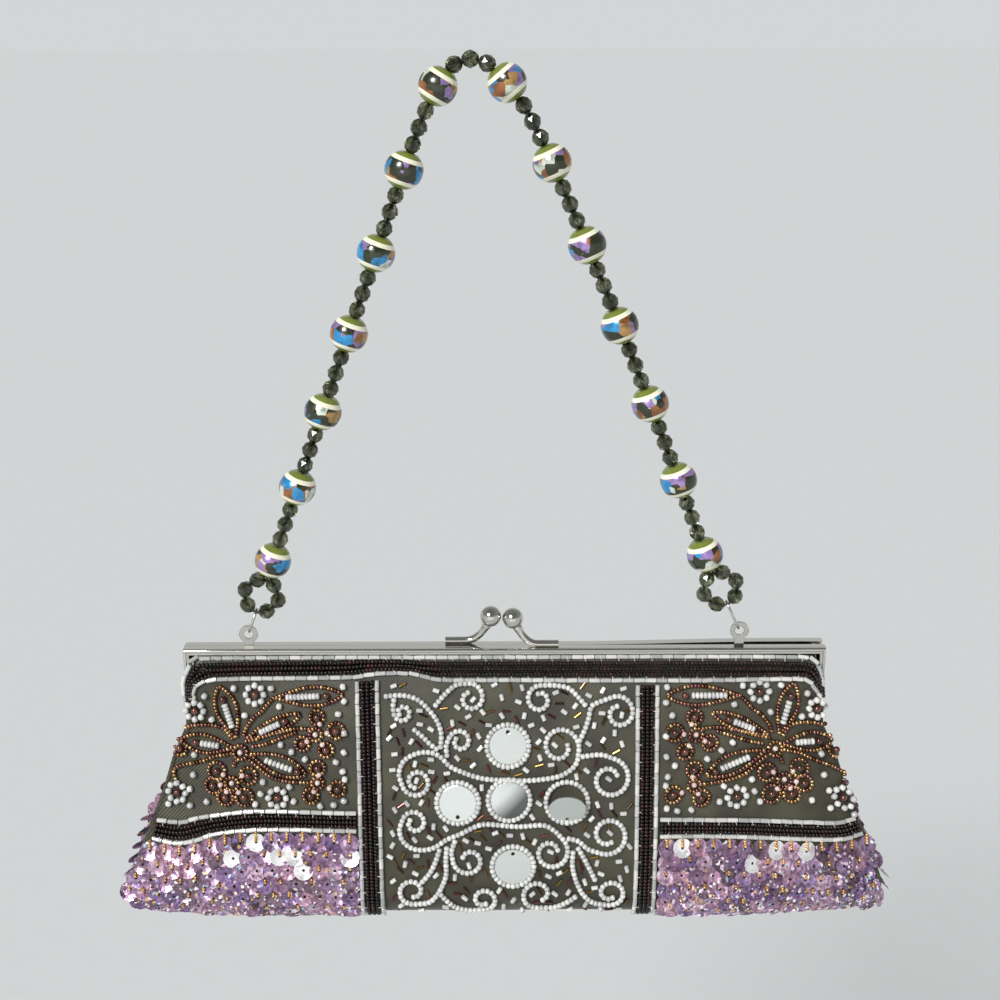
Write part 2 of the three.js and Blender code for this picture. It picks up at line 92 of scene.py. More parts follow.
# The sprung right end of the back half stands open: how far, and between which x it opens
BOW = {"most": 2.6, "start": 25.0, "end": 100.0}

# Clasp: bent wires on the top plates, as the front half's lies; the middle and the ball of each half
CLASP = {"ball": 3.95, "wire": 1.4, "collar": 1.8, "spread": 1.6}
CLASP_ROUTE = (
    (21.2, -1.7, 1.25), (16.4, -1.7, 1.25), (11.6, -1.7, 1.55), (8.2, -1.2, 3.9), (5.7, -0.5, 7.7))
CLASP_HALVES = {"front": (-1.0, (4.1, 0.0, 10.8)), "back": (1.0, (4.1, 0.0, 11.6))}

# Strap eyes: stamped tabs on the front half
EYE = {"head": 3.5, "hole": 1.7, "neck": 3.6, "root": 2.0, "front": -1.1, "back": -0.2}
EYES = {"left": (-95.6, 5.0), "right": (87.8, 6.0)}

# Pouch: drop, half width, half depth in the middle, half depth at the side seams, tuck of the gusset, and
# how far the cloth's edge stands out over the frame's legs before it turns inside them
SECTIONS = (
    (1.4, 116.4, 2.9, 2.9, 0.0, 0.0),
    (3.0, 116.4, 3.2, 3.0, 0.0, 0.0),
    (5.0, 117.0, 4.3, 4.6, 0.0, 0.5),
    (7.5, 118.6, 5.3, 5.7, 0.0, 2.2),
    (11.0, 119.5, 6.6, 6.2, 0.0, 3.1),
    (18.0, 119.8, 9.0, 6.4, 0.3, 3.4),
    (29.0, 120.0, 12.0, 6.6, 1.0, 3.4),
    (34.0, 122.0, 13.4, 6.8, 3.0, 2.0),
    (40.0, 125.0, 15.0, 7.4, 5.0, 0.0),
    (52.0, 129.0, 17.6, 9.0, 7.0, 0.0),
    (66.0, 134.5, 20.4, 12.0, 6.5, 0.0),
    (82.0, 141.0, 22.6, 15.0, 4.5, 0.0),
    (93.0, 144.5, 23.0, 16.0, 2.0, 0.0),
    (100.0, 143.0, 20.5, 14.0, 0.5, 0.0),
    (104.6, 137.5, 14.0, 9.0, 0.0, 0.0),
    (106.0, 130.0, 7.0, 4.0, 0.0, 0.0),
)
BASE = (106.2, 127.0, 0.0, 0.0, 0.0, 0.0)

# Power by which the cloth flattens towards the seams, the ripple with its wave lengths and the half
# depth from which it is full, the run of the fold behind the legs, and the cloth's thickness
FLATNESS = 5
RIPPLE = {"height": 0.35, "from": 10, "waves": ((11, 19), (13, 29))}
FOLD = 1.6
CLOTH = 1.4

# Dark cord along the mouth, a painted shadow under the frame's lip where the cloth goes in: across and
# drop, its radius and its stand off the cloth
SHADOW_CORD = ((-116.0, 8.0), (-116.0, 4.4), (-114.6, 3.0), (0.0, 2.8), (114.6, 3.0), (116.0, 4.4), (116.0, 8.0))
SHADOW_CORD_RADIUS = 0.6
SHADOW_CORD_STAND = 0.3

# Silvered discs on the front: sizes with the run of the painted dark reflection from the middle, then
# across, drop, clock angle of the sewing hole and forward tilt
MIRROR = {"radius": 7.0, "thickness": 0.7, "hole": 0.7, "hole_at": 5.3, "stand": 0.6, "painted_reflection": (-4.0, 5.0)}
MIRRORS = {
    "top": (1.2, 34.9, 90, 0),
    "left": (-17.6, 55.8, -90, 0),
    "centre": (1.6, 54.9, None, 0),
    "right": (23.3, 55.9, -90, 34),
    "bottom": (3.0, 80.5, 90, 0),
}

# Radius of the ring of beads round a mirror, and of circles on it that keep strewn bugles off
MIRROR_RING = 7.9
MIRROR_ROOM = (2.0, 5.0, 7.5)

# Strap: sign of x, lean from upright, run over which it eases into the lean, slackening per mm, pitch gap
STRANDS = {"left": (-1, 20.0, 8.1, 0.0, 0.5), "right": (1, 25.2, 10.5, 0.026, 1.0)}
SMALL = {"length": 6.0, "radius": 3.0, "sides": 8}
LARGE = {"length": 11.5, "radius": 6.7, "half": 6.15, "per_side": 7, "between": 3}

# Thread, the bead loops at the strands' ends, and the jump rings with the room that they leave
THREAD = 0.5
LOOP = {"radius": 6.35, "beads": 6, "gap": 35.6, "below": 14.7, "foot": 7.0}
JUMP_RING = {"wire": 0.45, "half_width": 2.9, "thread": 0.6, "play": 0.3}

# Facets of a small bead: radius and place along its axis. Then the facets' shades and their shares
SMALL_FACETS = (
    (0.0, -2.9), (1.1, -2.95), (2.5, -1.75), (3.05, 0.0), (2.5, 1.75), (1.1, 2.95), (0.0, 2.9))
# Dark and clear facets are painted shade and painted light, for facets that catch less or more of the room
SMALL_SHADES = {"glass": 0.4, "dark": 0.44, "clear": 0.16}

# Large bead from its middle outwards: where the ivory ring starts and ends, the chips' share of the band,
# and the sunk mouth of the bore
BAND_END = 3.2
RING_END = 4.6
SHELL_SHARE = 0.54
BORE_MOUTH = ((2.1, 6.0), (1.5, 5.5), (0.9, 5.3), (0.0, 5.2))

# Border lines: across and drop of the two rows of bugles that edge each band of dark seed beads
BORDERS = {
    "top": (
        ((-119.5, 21), (-119.5, 13), (-119.2, 10.5), (-118.2, 7.5), (-116.5, 4.9), (-112.5, 4), (-76, 3.6),
         (0, 3.6), (76, 3.6), (108, 4), (113.4, 4.2), (116, 5.2), (117.4, 7.6), (118.2, 10), (118.7, 14)),
        ((-116.2, 21), (-116.2, 16), (-115.6, 14), (-114.2, 12.4), (-109.4, 11), (-100, 10.6), (-58, 10.2),
         (-48, 9), (-34, 9), (-24, 11), (0, 11.3), (60, 11.6), (105, 11.2), (111.8, 11.4), (114.4, 13),
         (117, 16.4), (119.6, 20)),
    ),
    "left upright": (((-55, 11.6), (-54.2, 60), (-54, 104)), ((-47.6, 11.2), (-46.8, 60), (-46.4, 104))),
    "right upright": (((49.7, 13.2), (49.5, 60), (49.2, 104)), ((57, 13.2), (56.6, 60), (56.2, 104))),
    "left shelf": (
        ((-55.6, 59.8), (-78, 59.6), (-96, 60), (-114, 63), (-122, 65.6), (-132, 66)),
        ((-55.6, 66.4), (-78, 66.3), (-96, 67), (-109, 69), (-117, 72), (-124, 73.6), (-134, 73)),
    ),
    "right shelf": (
        ((58.2, 62.6), (76, 62.8), (92, 63.4), (112, 65.4), (126, 67), (133, 66.2)),
        ((58.2, 69), (76, 69), (92, 69.8), (112, 71.8), (128, 73.2), (136, 72)),
    ),
}

# Rows of dark beads as shares of the way across a border, and a bugle's length against its pitch
DARK_ROWS = (0.265, 0.5, 0.735)
BUGLE_FIT = 0.98

# Height of a bead's middle above the cloth against its width, and how far beads stand out of line
STANDS = {"bugle": 0.48, "seed": 0.46, "scroll": 0.45, "dot": 0.5}
BEAD_SLACK = 0.03

# Couching stitches over the bugles: width, spacing, and how far each reaches past the row either way
STITCH = {"width": 0.26, "spacing": 6.2, "out": 0.5, "in": 1.6}

# Scrolls of the middle panel: points of the stem, then the curl at its start and at its end as radius,
# turns and hand, where 1 turns left as seen from the front and -1 right
SCROLLS = (
    (((-24, 36), (-23.6, 30.6), (-25, 26), (-28, 21.8), (-32.3, 18), (-38, 16.5), (-45, 16.9)), None, None),
    (((-41, 17.4), (-41.5, 20), (-41.3, 22.6)), None, (3.4, 1.2, 1)),
    (((-26.2, 20.6), (-22.5, 16.4), (-18.1, 12.9), (-13.7, 12.4)), None, (5.3, 1.05, -1)),
    (((-34.3, 28.5), (-30.6, 31.4), (-27.7, 34.2), (-24.7, 36.4)), None, None),
    (((-21.4, 39), (-21.8, 34.9), (-20.7, 32)), None, (4.25, 1.15, -1)),
    (((-38.4, 49.1), (-39.5, 44.9), (-37.6, 40.3), (-32.8, 37.6), (-27.7, 37.2), (-24, 38.7), (-20.3, 42.2),
      (-15.2, 44.5), (-9.3, 46.4), (-3.4, 47.2), (8.4, 47.6), (18.7, 46.4), (23.9, 44.1), (26.8, 41),
      (27.6, 37.2)), (5.6, 1.25, 1), (7.3, 1.15, 1)),
    (((30.5, 20.6), (27.6, 17.4), (23.9, 14.2), (18.7, 13.2), (13.6, 13.2)), None, (5.0, 1.15, 1)),
    (((27.6, 33.5), (29.8, 29.2), (31.3, 24.9), (32.4, 20.6), (35.7, 18.9), (40.1, 17.4)), None,
     (6.2, 1.1, -1)),
    (((28.3, 38.7), (35.7, 38), (40.8, 39.5)), None, (7.8, 1.2, -1)),
    (((-38.4, 62.4), (-39.5, 66.1), (-38.4, 70.2), (-35, 73.2), (-30.6, 73.9), (-26.2, 72.8), (-21.8, 69.8),
      (-16.6, 67.6), (-12.2, 65.3), (-7, 63.9), (4.7, 65), (14.3, 64.6), (18.7, 66.8), (21.7, 69.8)),
     (4.7, 1.15, -1), (6.9, 1.15, -1)),
    (((23.2, 69.5), (27.6, 70.6), (31.3, 73.6), (35.7, 75.1)), None, (7.6, 1.2, 1)),
    (((-24.4, 73.2), (-26.2, 78.8), (-28.4, 83.3), (-31.7, 87.4)), None, None),
    (((-21.8, 72.4), (-22.2, 78), (-22.2, 84), (-24, 89.2), (-26.2, 93), (-29.2, 95.6), (-33.6, 96.3)), None,
     (5.7, 1.1, -1)),
    (((-18.5, 69.8), (-20, 74.3), (-19.6, 78)), None, (6.1, 1.0, 1)),
    (((-24.7, 91.6), (-21.8, 94.9), (-18.1, 98.3), (-13, 99.8), (-7.8, 99)), None, (5.0, 1.15, 1)),
    (((25.7, 74.2), (25.4, 79.4), (26.1, 83.8), (27.6, 88.3), (29.8, 92.4), (33.5, 95.7), (37.9, 96.8)),
     None, (5.8, 1.2, 1)),
    (((27.2, 72.8), (29.8, 77.2), (32, 81.6), (34.2, 86.4)), None, None),
    (((27.2, 92.7), (23.2, 95.7), (18.7, 98.3), (13.6, 98.6)), None, (6.7, 1.0, -1)),
)

# Share of its radius that a curl has lost at its end
CURL_CLOSING = 0.62

# Side flowers, charted on the left panel from the flower's heart. The right panel mirrors them, a little
# stretched inwards, flaring outwards with the drop, and sagging by the square of the way from the heart,
# twice as much at the drop SAG_DROP. A row is across, drop, facing, then scale, sag and flare, each
# inwards and outwards. Rings of beads close round the heart and round the hearts of the florets, given
# as across, drop, radius
FLOWER_HEARTS = {
    "left": (-99.0, 38.0, 1, (1.0, 1.0), (0.0, 0.0), (0.0, 0.0)),
    "right": (101.3, 37.3, -1, (1.05, 1.0), (0.0017, 0.004), (0.0, 0.005)),
}
SAG_DROP = 40
HEART_RING = 2.6
FLORET_RINGS = ((28.4, -7.4, 2.3), (29.0, 10.6, 2.2), (-3.4, 11.8, 2.5))

# Petals: base, tip, width, shares of the length that the white row runs over
PETALS = (
    ((-1.6, -5.2), (-7.7, -24.7), 7.9, (0.2, 0.66)),
    ((13.4, -20.6), (38.8, -21.7), 6.6, (0.16, 0.66)),
    ((2.4, -5.2), (22.9, -14.9), 4.8, (0.25, 0.62)),
    ((3.6, 0.3), (24.7, 7.4), 7.0, (0.27, 0.76)),
    ((-2.8, -1.6), (-23, -3), 6.6, (0.25, 0.61)),
)

# Stems of the flowers, as points from the heart
STEMS = (
    ((1.3, -6), (2.1, -8.8), (3.6, -11), (5.3, -13.2), (8.2, -15.4), (10.5, -18.1), (13.4, -21)),
    ((1.6, -4.1), (6.5, -5.2), (11.1, -6.9), (15.7, -8.2), (19.8, -9.3), (23.8, -9.6), (26.7, -9.3)),
    ((4.2, -2.2), (9.9, -3.6), (14.6, -5.5), (18.6, -7.1), (21.5, -8.2)),
    ((3, 2.2), (6.5, 4.9), (9.9, 7.7), (13.4, 9.3), (18.6, 10.2), (24.4, 10.4), (27.3, 10.2)),
    ((-2.8, 0.3), (-5.7, 1.1), (-9.7, 1.9), (-13.8, 3.8), (-17.2, 4.9), (-21.8, 6.3), (-25.3, 8),
     (-25.9, 9.9), (-25, 12.6)),
    ((-1, 2.5), (-2.2, 3.8), (-2.8, 5.5)),
    ((-2.8, -4.4), (-5.7, -8.2), (-9.7, -9.6), (-13.8, -9.6), (-17.8, -9.1), (-20.7, -8), (-22.4, -6.9)),
)

# Loops of the florets, each round a pearl: across, drop, radius
LOOPS = (
    (29, -13.7, 2.6), (36, -8.8, 2.9), (32.3, -1.8, 2.6), (23.5, -4, 2.6), (29, 4.9, 2.7), (36.4, 12.7, 2.8),
    (26.4, 15.4, 2.8), (-9.1, 7.3, 3.2), (2.9, 8.5, 3.1), (-10.6, 12.9, 2.9), (-6, 17, 2.9),
    (1.2, 16.6, 3.2), (-23.3, 0.3, 2.6),
)

# Single beads of the flowers: blush beads in the hearts, and the hearts of the ring flowers
BLUSH = (
    (0, 0), (30.1, -11.3), (32.8, -8), (31, -3.8), (28.4, -7.4), (25.3, -4.9), (29.6, 7.4), (29, 10.4),
    (33.4, 12.4), (27.6, 13.7), (-6.5, 8.5), (-7.7, 12.4), (-3.4, 11.5), (-5.4, 14.8), (-0.8, 14.8),
    (0.7, 8.5),
)
RING_FLOWERS = ((-16.9, -15.1), (5.9, -21.7), (13.8, 16.4), (-24.6, 16.8))
RING_FLOWER = {"radius": 3.35, "petals": 8}

# Bronze beads of the flowers against the dark beads of the borders, white ones against those of the
# scrolls, and round ones by radius, sides, stand off the cloth and finish
BRONZE = {"width": 0.97, "length": 0.9}
DOT = {"width": 1.2, "pitch": 0.85, "length": 0.8}
ROUND_BEADS = {"pearls": (1.4, 10, 1.35, "brown_pearl"), "blush": (1.05, 8, 1.05, "blush_glass")}

# White dots round a flower, as the petals are charted
DOTS = (
    (-13, -21), (-2, -24), (12, -24), (2, -14), (15, -17.5), (-10.5, -12), (15.5, -3.5), (19.5, -1),
    (24.5, 1.5), (37, -15), (39.2, -8), (39, -1), (36, 2.5), (38.5, 6), (39.2, 9), (18.5, 12), (8.5, 10.5),
    (7.5, 15), (20, 17.5), (30, 19), (35, 18.5), (38.8, 17), (5.5, 19), (-13, 19), (-18, 9.5), (-19.5, 15),
    (-19.5, 21), (-28, 21.5), (-17.5, 2), (39.2, -19.5), (38.8, -24.5),
)

# Bugles strewn over the middle panel: how many, length, width, room kept to the beads and to each other
STREWN = {"white": (116, 2.5, 1.6, 2.6, 4.3), "bronze": (100, 3.3, 0.95, 2.1, 3.4)}
STREWN_FIELD = ((-43.5, 13.8), (47.0, 104.0))
STREWN_TRIES = 60

# Sequin rows: first row under the shelf, start of the rows on the gussets and the back, stand off the
# cloth, the first sequin's middle from the shelf's end, room left at edges, rows above and below the
# shelf's line and how far they run. Then the lift of the lower edge and of one side edge in degrees, how
# far these are off, and the extra lift on the gussets
SEQUIN_ROWS = {"under_shelf": 4.6, "gusset_drop": 63.0, "back_drop": 66.0, "stand": 0.9, "inset": 2.6,
               "margin": 1.0, "above": 2, "count": 12, "span": 110}
SEQUIN_TILT = {"lift": 11.0, "lean": 7.0, "off": 6.0, "flare": 16.0}

# Beads that hold a sequin: size, first one's way from the hole, stand, how many, how many of them show
# below another row, and on what share of the sequins
SEQUIN_BEAD = {"width": 1.2, "length": 1.0, "start": 0.8, "stand": 0.55, "count": 4, "seen": 2,
               "share": 0.6}

# Sequins painted white for a flash of light: row below the shelf and place out from the upright border,
# both from 0, the tone from which a sequin is painted white, and the drops between which the painted
# glints thin out upwards
FLASHES = {
    "left shelf": ((1, 0), (1, 4), (1, 5), (1, 8), (2, 3), (0, 6)),
    "right shelf": ((0, 1), (1, 6), (0, 7), (0, 9)),
}
FLASH_TONE = 0.95
GLINT_DROPS = (104.0, 77.0)

# Random draws of the steps
SEEDS = {"strap": 5, "borders": 7, "scrolls": 11, "flowers": 13, "sequins": 17}

# Studio: floor's height and reach, and the sun's way, spread and strength
FLOOR = {"level": -0.9, "reach": 60.0}
SUN = {"from": (-0.413, -0.688, 0.596), "spread": 20.0, "strength": 3.35}

# Low soft box behind the camera, for the silver to mirror: place, width and height, and power
LOW_BOX = {"place": (0.0, -1.7, -0.3), "size": (2.2, 1.1), "power": 3.0}

# Camera: place, degrees that it looks down and rolls, lens and sensor, and how far it sees
CAMERA = {"place": (0.0095, -0.520, 0.014), "down": 17.6, "roll": -0.16, "lens": 54.0, "sensor": 36.0,
          "reach": 200.0}

# Patches of the room round the object, later ones over earlier: sideways turn from behind the camera and
# height in degrees, half width of the full patch and of its fading edge, colour and brightness
ROOM = "969898"
PATCHES = (
    (0.0, -90.0, 99.0, 106.0, "d3d5d6", 1.0),
    (180.0, 0.0, 25.0, 50.0, "d3d5d6", 1.0),
    (0.0, 62.0, 25.0, 60.0, "7a7c7c", 1.0),
    (-16.0, 26.0, 5.0, 11.0, "ffffff", 1.7),
    (3.0, 22.0, 4.0, 11.0, "1c1c1c", 1.0),
)


def linear(code):
    """A colour from its sRGB hex code: each channel is undone by the sRGB curve."""
    srgb = np.array([int(code[k:k + 2], 16) for k in (0, 2, 4)]) / 255
    rgb = np.where(srgb <= 0.04045, srgb / 12.92, ((srgb + 0.055) / 1.055) ** 2.4)
    return (*rgb.tolist(), 1.0)


def size_property(name, description, default):
    """A length to show in the panel, its default given in millimetres."""
    return bpy.props.FloatProperty(
        name=name, description=description, default=default * MM, unit="LENGTH", precision=5)


def colour_property(name, description, code):
    """A colour to show in the panel, its default given as an sRGB hex code."""
    return bpy.props.FloatVectorProperty(
        name=name, description=description, default=linear(code), size=4, subtype="COLOR")


class ClutchSizes(bpy.types.PropertyGroup):
    """Sizes of the beads, the sequins and the weave"""

    seed_width: size_property("Seed bead width", "Outer width of a dark seed bead", 1.9)
    seed_pitch: size_property("Seed bead pitch", "Spacing of dark seed beads on a thread", 1.4)
    white_width: size_property("White bead width", "Outer width of a white bead", 2.2)
    white_pitch: size_property("White bead pitch", "Spacing of white beads on a thread", 1.75)
    bugle_width: size_property("Bugle width", "Outer width of a border bugle", 1.7)
    bugle_pitch: size_property("Bugle pitch", "Spacing of bugles along a border", 4.2)
    sequin_width: size_property("Sequin width", "Diameter of a sequin", 7.5)
    sequin_pitch: size_property("Sequin pitch", "Spacing of sequins along a row", 5.9)
    sequin_row: size_property("Sequin rows", "Spacing of the rows of sequins", 5.6)
    twill: size_property("Twill spacing", "Spacing of the satin's slanting ribs", 0.72)


class ClutchColours(bpy.types.PropertyGroup):
    """Colours of the finishes"""

    satin: colour_property("Satin", "Ground cloth", "353122")
    nickel: colour_property("Nickel", "Frame, clasp and rings", "cbc9c2")
    silver: colour_property("Silver", "Mirror discs", "dde1de")
    smoke: colour_property("Smoky glass", "Small strap beads", "7c805f")
    resin: colour_property("Dark resin", "Middle band of the large beads", "20260a")
    caps: colour_property("Olive resin", "Ends of the large beads", "7c8838")
    ivory: colour_property("Ivory resin", "Rings of the large beads", "f3f1dd")
    floor: colour_property("Floor", "Studio floor", "d9dbdb")


# Mesh building


def net(points, round_rows=False, round_columns=False, poles=(), ids=None):
    """Faces over a grid of points. The grid may close on itself either way, a pole row counts as its first
    point alone, and ids may name one grid place by another's number where two places are the same point."""
    rows, columns = points.shape[:2]
    if ids is None:
        ids = np.arange(rows * columns).reshape(rows, columns)
    for row in poles:
        ids[row] = ids[row, 0]
    if round_rows:
        ids = np.concatenate((ids, ids[:1]))
    if round_columns:
        ids = np.concatenate((ids, ids[:, :1]), axis=1)
    quads = np.stack((ids[:-1, :-1], ids[:-1, 1:], ids[1:, 1:], ids[1:, :-1]), axis=-1).reshape(-1, 4)
    lower = quads[:, 0] == quads[:, 1]
    upper = quads[:, 2] == quads[:, 3]
    tris = np.concatenate((quads[lower][:, (0, 2, 3)], quads[upper][:, (0, 1, 2)]))
    quads = quads[~(lower | upper)]
    used, order = np.unique(np.concatenate((quads.ravel(), tris.ravel())), return_inverse=True)
    order = order.ravel()
    kept = points.reshape(-1, 3)[used]
    return kept, order[:quads.size].reshape(-1, 4), order[quads.size:].reshape(-1, 3)


def merged(surfaces):
    """Several surfaces as one, their faces renumbered to follow each other's points."""
    starts = np.cumsum([0] + [len(points) for points, _, _ in surfaces[:-1]])
    rows = [(points, quads + start, tris + start)
            for (points, quads, tris), start in zip(surfaces, starts)]
    return tuple(np.concatenate(kind) for kind in zip(*rows))


def moved(surface, way):
    """The surface carried some way off."""
    points, *faces = surface
    return points + way, *faces


def heading(angle):
    """Plane vectors of length one at an angle: its cosine and its sine."""
    return np.stack((np.cos(angle), np.sin(angle)), axis=-1)


def circle(radius, count, start=0.0):
    """Points at equal angles round a circle about the origin, the first at a share of the step."""
    return heading((np.arange(count) + start) * 2 * np.pi / count) * radius


def stacked(rings):
    """Grid of points from flat rings, each given as its x and y and its height."""
    return np.stack([np.concatenate((ring, np.full((len(ring), 1), height)), axis=1)
                     for ring, height in rings])


def lathe(profile, sides, closed=False):
    """A profile of radius and height turned round Z. It runs from the lower pole up to the upper one, or, if
    closed, comes back to its start."""
    points = stacked([(circle(radius, sides), height) for radius, height in profile])
    return net(points, round_rows=closed, round_columns=True, poles=() if closed else (0, -1))


def facets(profile, sides):
    """As lathe, but every other ring is turned by half a step and the bands between are triangles."""
    points = stacked([
        (circle(radius, sides, k % 2 / 2), height) for k, (radius, height) in enumerate(profile)])
    ids = np.arange(len(profile) * sides).reshape(len(profile), sides)
    ids[0] = ids[0, 0]
    ids[-1] = ids[-1, 0]
    ahead = np.roll(ids, -1, axis=1)
    here, there, near, far = ids[:-1], ids[1:], ahead[:-1], ahead[1:]
    odd = (np.arange(len(profile) - 1) % 2 == 1)[:, None, None]
    first = np.where(odd, np.stack((here, near, far), -1), np.stack((here, near, there), -1))
    second = np.where(odd, np.stack((here, far, there), -1), np.stack((there, near, far), -1))
    tris = np.concatenate((first.reshape(-1, 3), second.reshape(-1, 3)))
    whole = (tris[:, 0] != tris[:, 1]) & (tris[:, 1] != tris[:, 2]) & (tris[:, 2] != tris[:, 0])
    used, order = np.unique(tris[whole], return_inverse=True)
    return points.reshape(-1, 3)[used], np.empty((0, 4), int), order.reshape(-1, 3)


def unit(vectors):
    """Vectors at length one."""
    return vectors / np.linalg.norm(vectors, axis=-1, keepdims=True)


def tube(path, radius, sides, aside, endless=False):
    """A round section carried along a path: at each station a circle square to the path, measured from the
    direction aside. An open tube ends in poles."""
    radius = np.broadcast_to(radius, len(path))
    if endless:
        along = unit(np.roll(path, -1, axis=0) - np.roll(path, 1, axis=0))
    else:
        along = unit(np.gradient(path, axis=0))
        path, along = (np.concatenate((rows[:1], rows, rows[-1:])) for rows in (path, along))
        radius = np.concatenate(((0,), radius, (0,)))
    first = unit(np.cross(np.broadcast_to(aside, along.shape), along))
    spokes = circle(1.0, sides) @ np.stack((first, np.cross(along, first)), axis=1)
    points = path[:, None] + spokes * radius[:, None, None]
    return net(points, round_rows=endless, round_columns=True, poles=() if endless else (0, -1))


def copies(surface, centre, along, outward):
    """The surface set down at each centre, its Z turned along and its X outward."""
    points, *faces = surface
    along = unit(along)
    aside = unit(np.cross(along, outward))
    turned = points @ np.stack((np.cross(aside, along), aside, along), axis=1)
    step = (np.arange(len(centre)) * len(points))[:, None, None]
    placed = (centre[:, None] + turned).reshape(-1, 3)
    return placed, *((kind + step).reshape(-1, kind.shape[1]) for kind in faces)


def make_piece(name, surface, finishes, replaced=(), crease=None, flat=False, tone=None, zones=None):
    """Puts a surface, in millimetres of the part's frame, into a mesh object at the origin that rides on the
    body. Edges sharper than crease stay sharp, tone is a value for each point and zones a finish for each
    face."""
    points, quads, tris = surface
    corners = np.concatenate((quads.ravel(), tris.ravel())).astype(np.int32)
    sizes = np.concatenate((np.full(len(quads), 4), np.full(len(tris), 3)))
    mesh = bpy.data.meshes.new(name)
    mesh.vertices.add(len(points))
    mesh.vertices.foreach_set("co", (points * MM).ravel().astype(np.float32))
    mesh.loops.add(len(corners))
    mesh.loops.foreach_set("vertex_index", corners)
    mesh.polygons.add(len(sizes))
    mesh.polygons.foreach_set("loop_start", (np.cumsum(sizes) - sizes).astype(np.int32))
    mesh.polygons.foreach_set("use_smooth", np.full(len(sizes), not flat))
    for finish in finishes:
        mesh.materials.append(finish_named(finish))
    if zones is not None:
        mesh.polygons.foreach_set("material_index", zones.astype(np.int32))
    mesh.update(calc_edges=True)
    if crease is not None:
        mesh.set_sharp_from_angle(angle=np.radians(crease))
    if tone is not None:
        mesh.attributes.new("tone", "FLOAT", "POINT").data.foreach_set("value", tone.astype(np.float32))
    piece = bpy.data.objects.new(name, mesh)
    bpy.context.collection.objects.link(piece)
    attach(piece, "root")
    if replaced:
        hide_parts(*replaced)
    return piece


# Curves


def smooth(at, places, rows):
    """Rows of a table between their places: a cubic whose slope at each row is the harmonic mean of the
    slopes beside it, or level at a turning point, so it passes through the rows and never overshoots."""
    places = np.asarray(places, float)
    rows = np.asarray(rows, float)
    step = np.diff(places)[:, None]
    rise = np.diff(rows, axis=0) / step
    product = rise[:-1] * rise[1:]
    turning = product <= 0
    inner = np.where(turning, 0, 2 * product / np.where(turning, 1, rise[:-1] + rise[1:]))
    slope = np.concatenate((rise[:1], inner, rise[-1:]))
    at = np.clip(at, places[0], places[-1])
    k = np.clip(np.searchsorted(places, at, side="right") - 1, 0, len(step) - 1)
    t = (at - places[k])[..., None] / step[k]
    start = rows[k] * (1 + 2 * t) + slope[k] * step[k] * t
    end = rows[k + 1] * (3 - 2 * t) + slope[k + 1] * step[k] * (t - 1)
    return start * (1 - t) ** 2 + end * t**2


def curve(points, steps=24):
    """A curve through the points: on each stretch a cubic whose slope at a point runs along the line between
    its two neighbours."""
    points = np.asarray(points, float)
    ends = np.concatenate((2 * points[:1] - points[1:2], points, 2 * points[-1:] - points[-2:-1]))
    a, b, c, d = (ends[k:len(points) - 1 + k, None] for k in range(4))
    t = np.linspace(0, 1, steps, endpoint=False)[None, :, None]
    bent = 0.5 * (2 * b + (c - a) * t + (2 * a - 5 * b + 4 * c - d) * t**2 + (3 * b - a - 3 * c + d) * t**3)
    return np.concatenate((bent.reshape(-1, points.shape[1]), points[-1:]))


def curled(line, radius, turns, hand):
    """The line carried on in a spiral: its heading turns evenly while the radius of the bend shrinks.
    The chart's drop counts downwards, so a turn to the left is a falling angle."""
    ahead = line[-1] - line[-2]
    turn = np.linspace(0, 2 * np.pi * turns, 160)
    bend = radius * (1 - CURL_CLOSING * turn / turn[-1])
    course = np.arctan2(ahead[1], ahead[0]) - hand * (turn[1:] + turn[:-1]) / 2
    moves = heading(course) * (bend[1:] * np.diff(turn))[:, None]
    return np.concatenate((line, line[-1] + np.cumsum(moves, axis=0)))


def even(line, pitch, ends=False):
    """Places at equal spacing along a line, in the middles of its equal parts, or also at both ends."""
    run = np.concatenate(((0,), np.cumsum(np.linalg.norm(np.diff(line, axis=0), axis=1))))
    count = max(int(round(run[-1] / pitch)), 1)
    at = np.linspace(0, run[-1], count + 1) if ends else (np.arange(count) + 0.5) * run[-1] / count
    return np.stack([np.interp(at, run, column) for column in line.T], axis=1)


# Cloth


def eased(share):
    """A share held between 0 and 1 and eased at both ends: three times its square less twice its cube."""
    share = np.clip(share, 0, 1)
    return share**2 * (3 - 2 * share)


def bow(x, drop):
    """How far the open end of the back half stands back: eased along x, and less towards the hinges."""
    opened = eased((x - BOW["start"]) / (BOW["end"] - BOW["start"]))
    return BOW["most"] * opened * np.clip(1 - drop / HINGE["drop"], 0, 1)


def cloth_table():
    """Girth of each section, from the mouth down the front and up the back, with the sections' values.
    Depths are negative on the front."""
    front = np.array(SECTIONS)
    rows = np.concatenate((front * (1, 1, -1, -1, 1, 1), (BASE,), front[::-1]))
    run = np.hypot(np.diff(rows[:, 0]), np.diff(rows[:, 2]))
    return front[0, 0] + np.concatenate(((0,), np.cumsum(run))), rows


GIRTHS, CLOTH_ROWS = cloth_table()
BASE_GIRTH = GIRTHS[len(SECTIONS)]


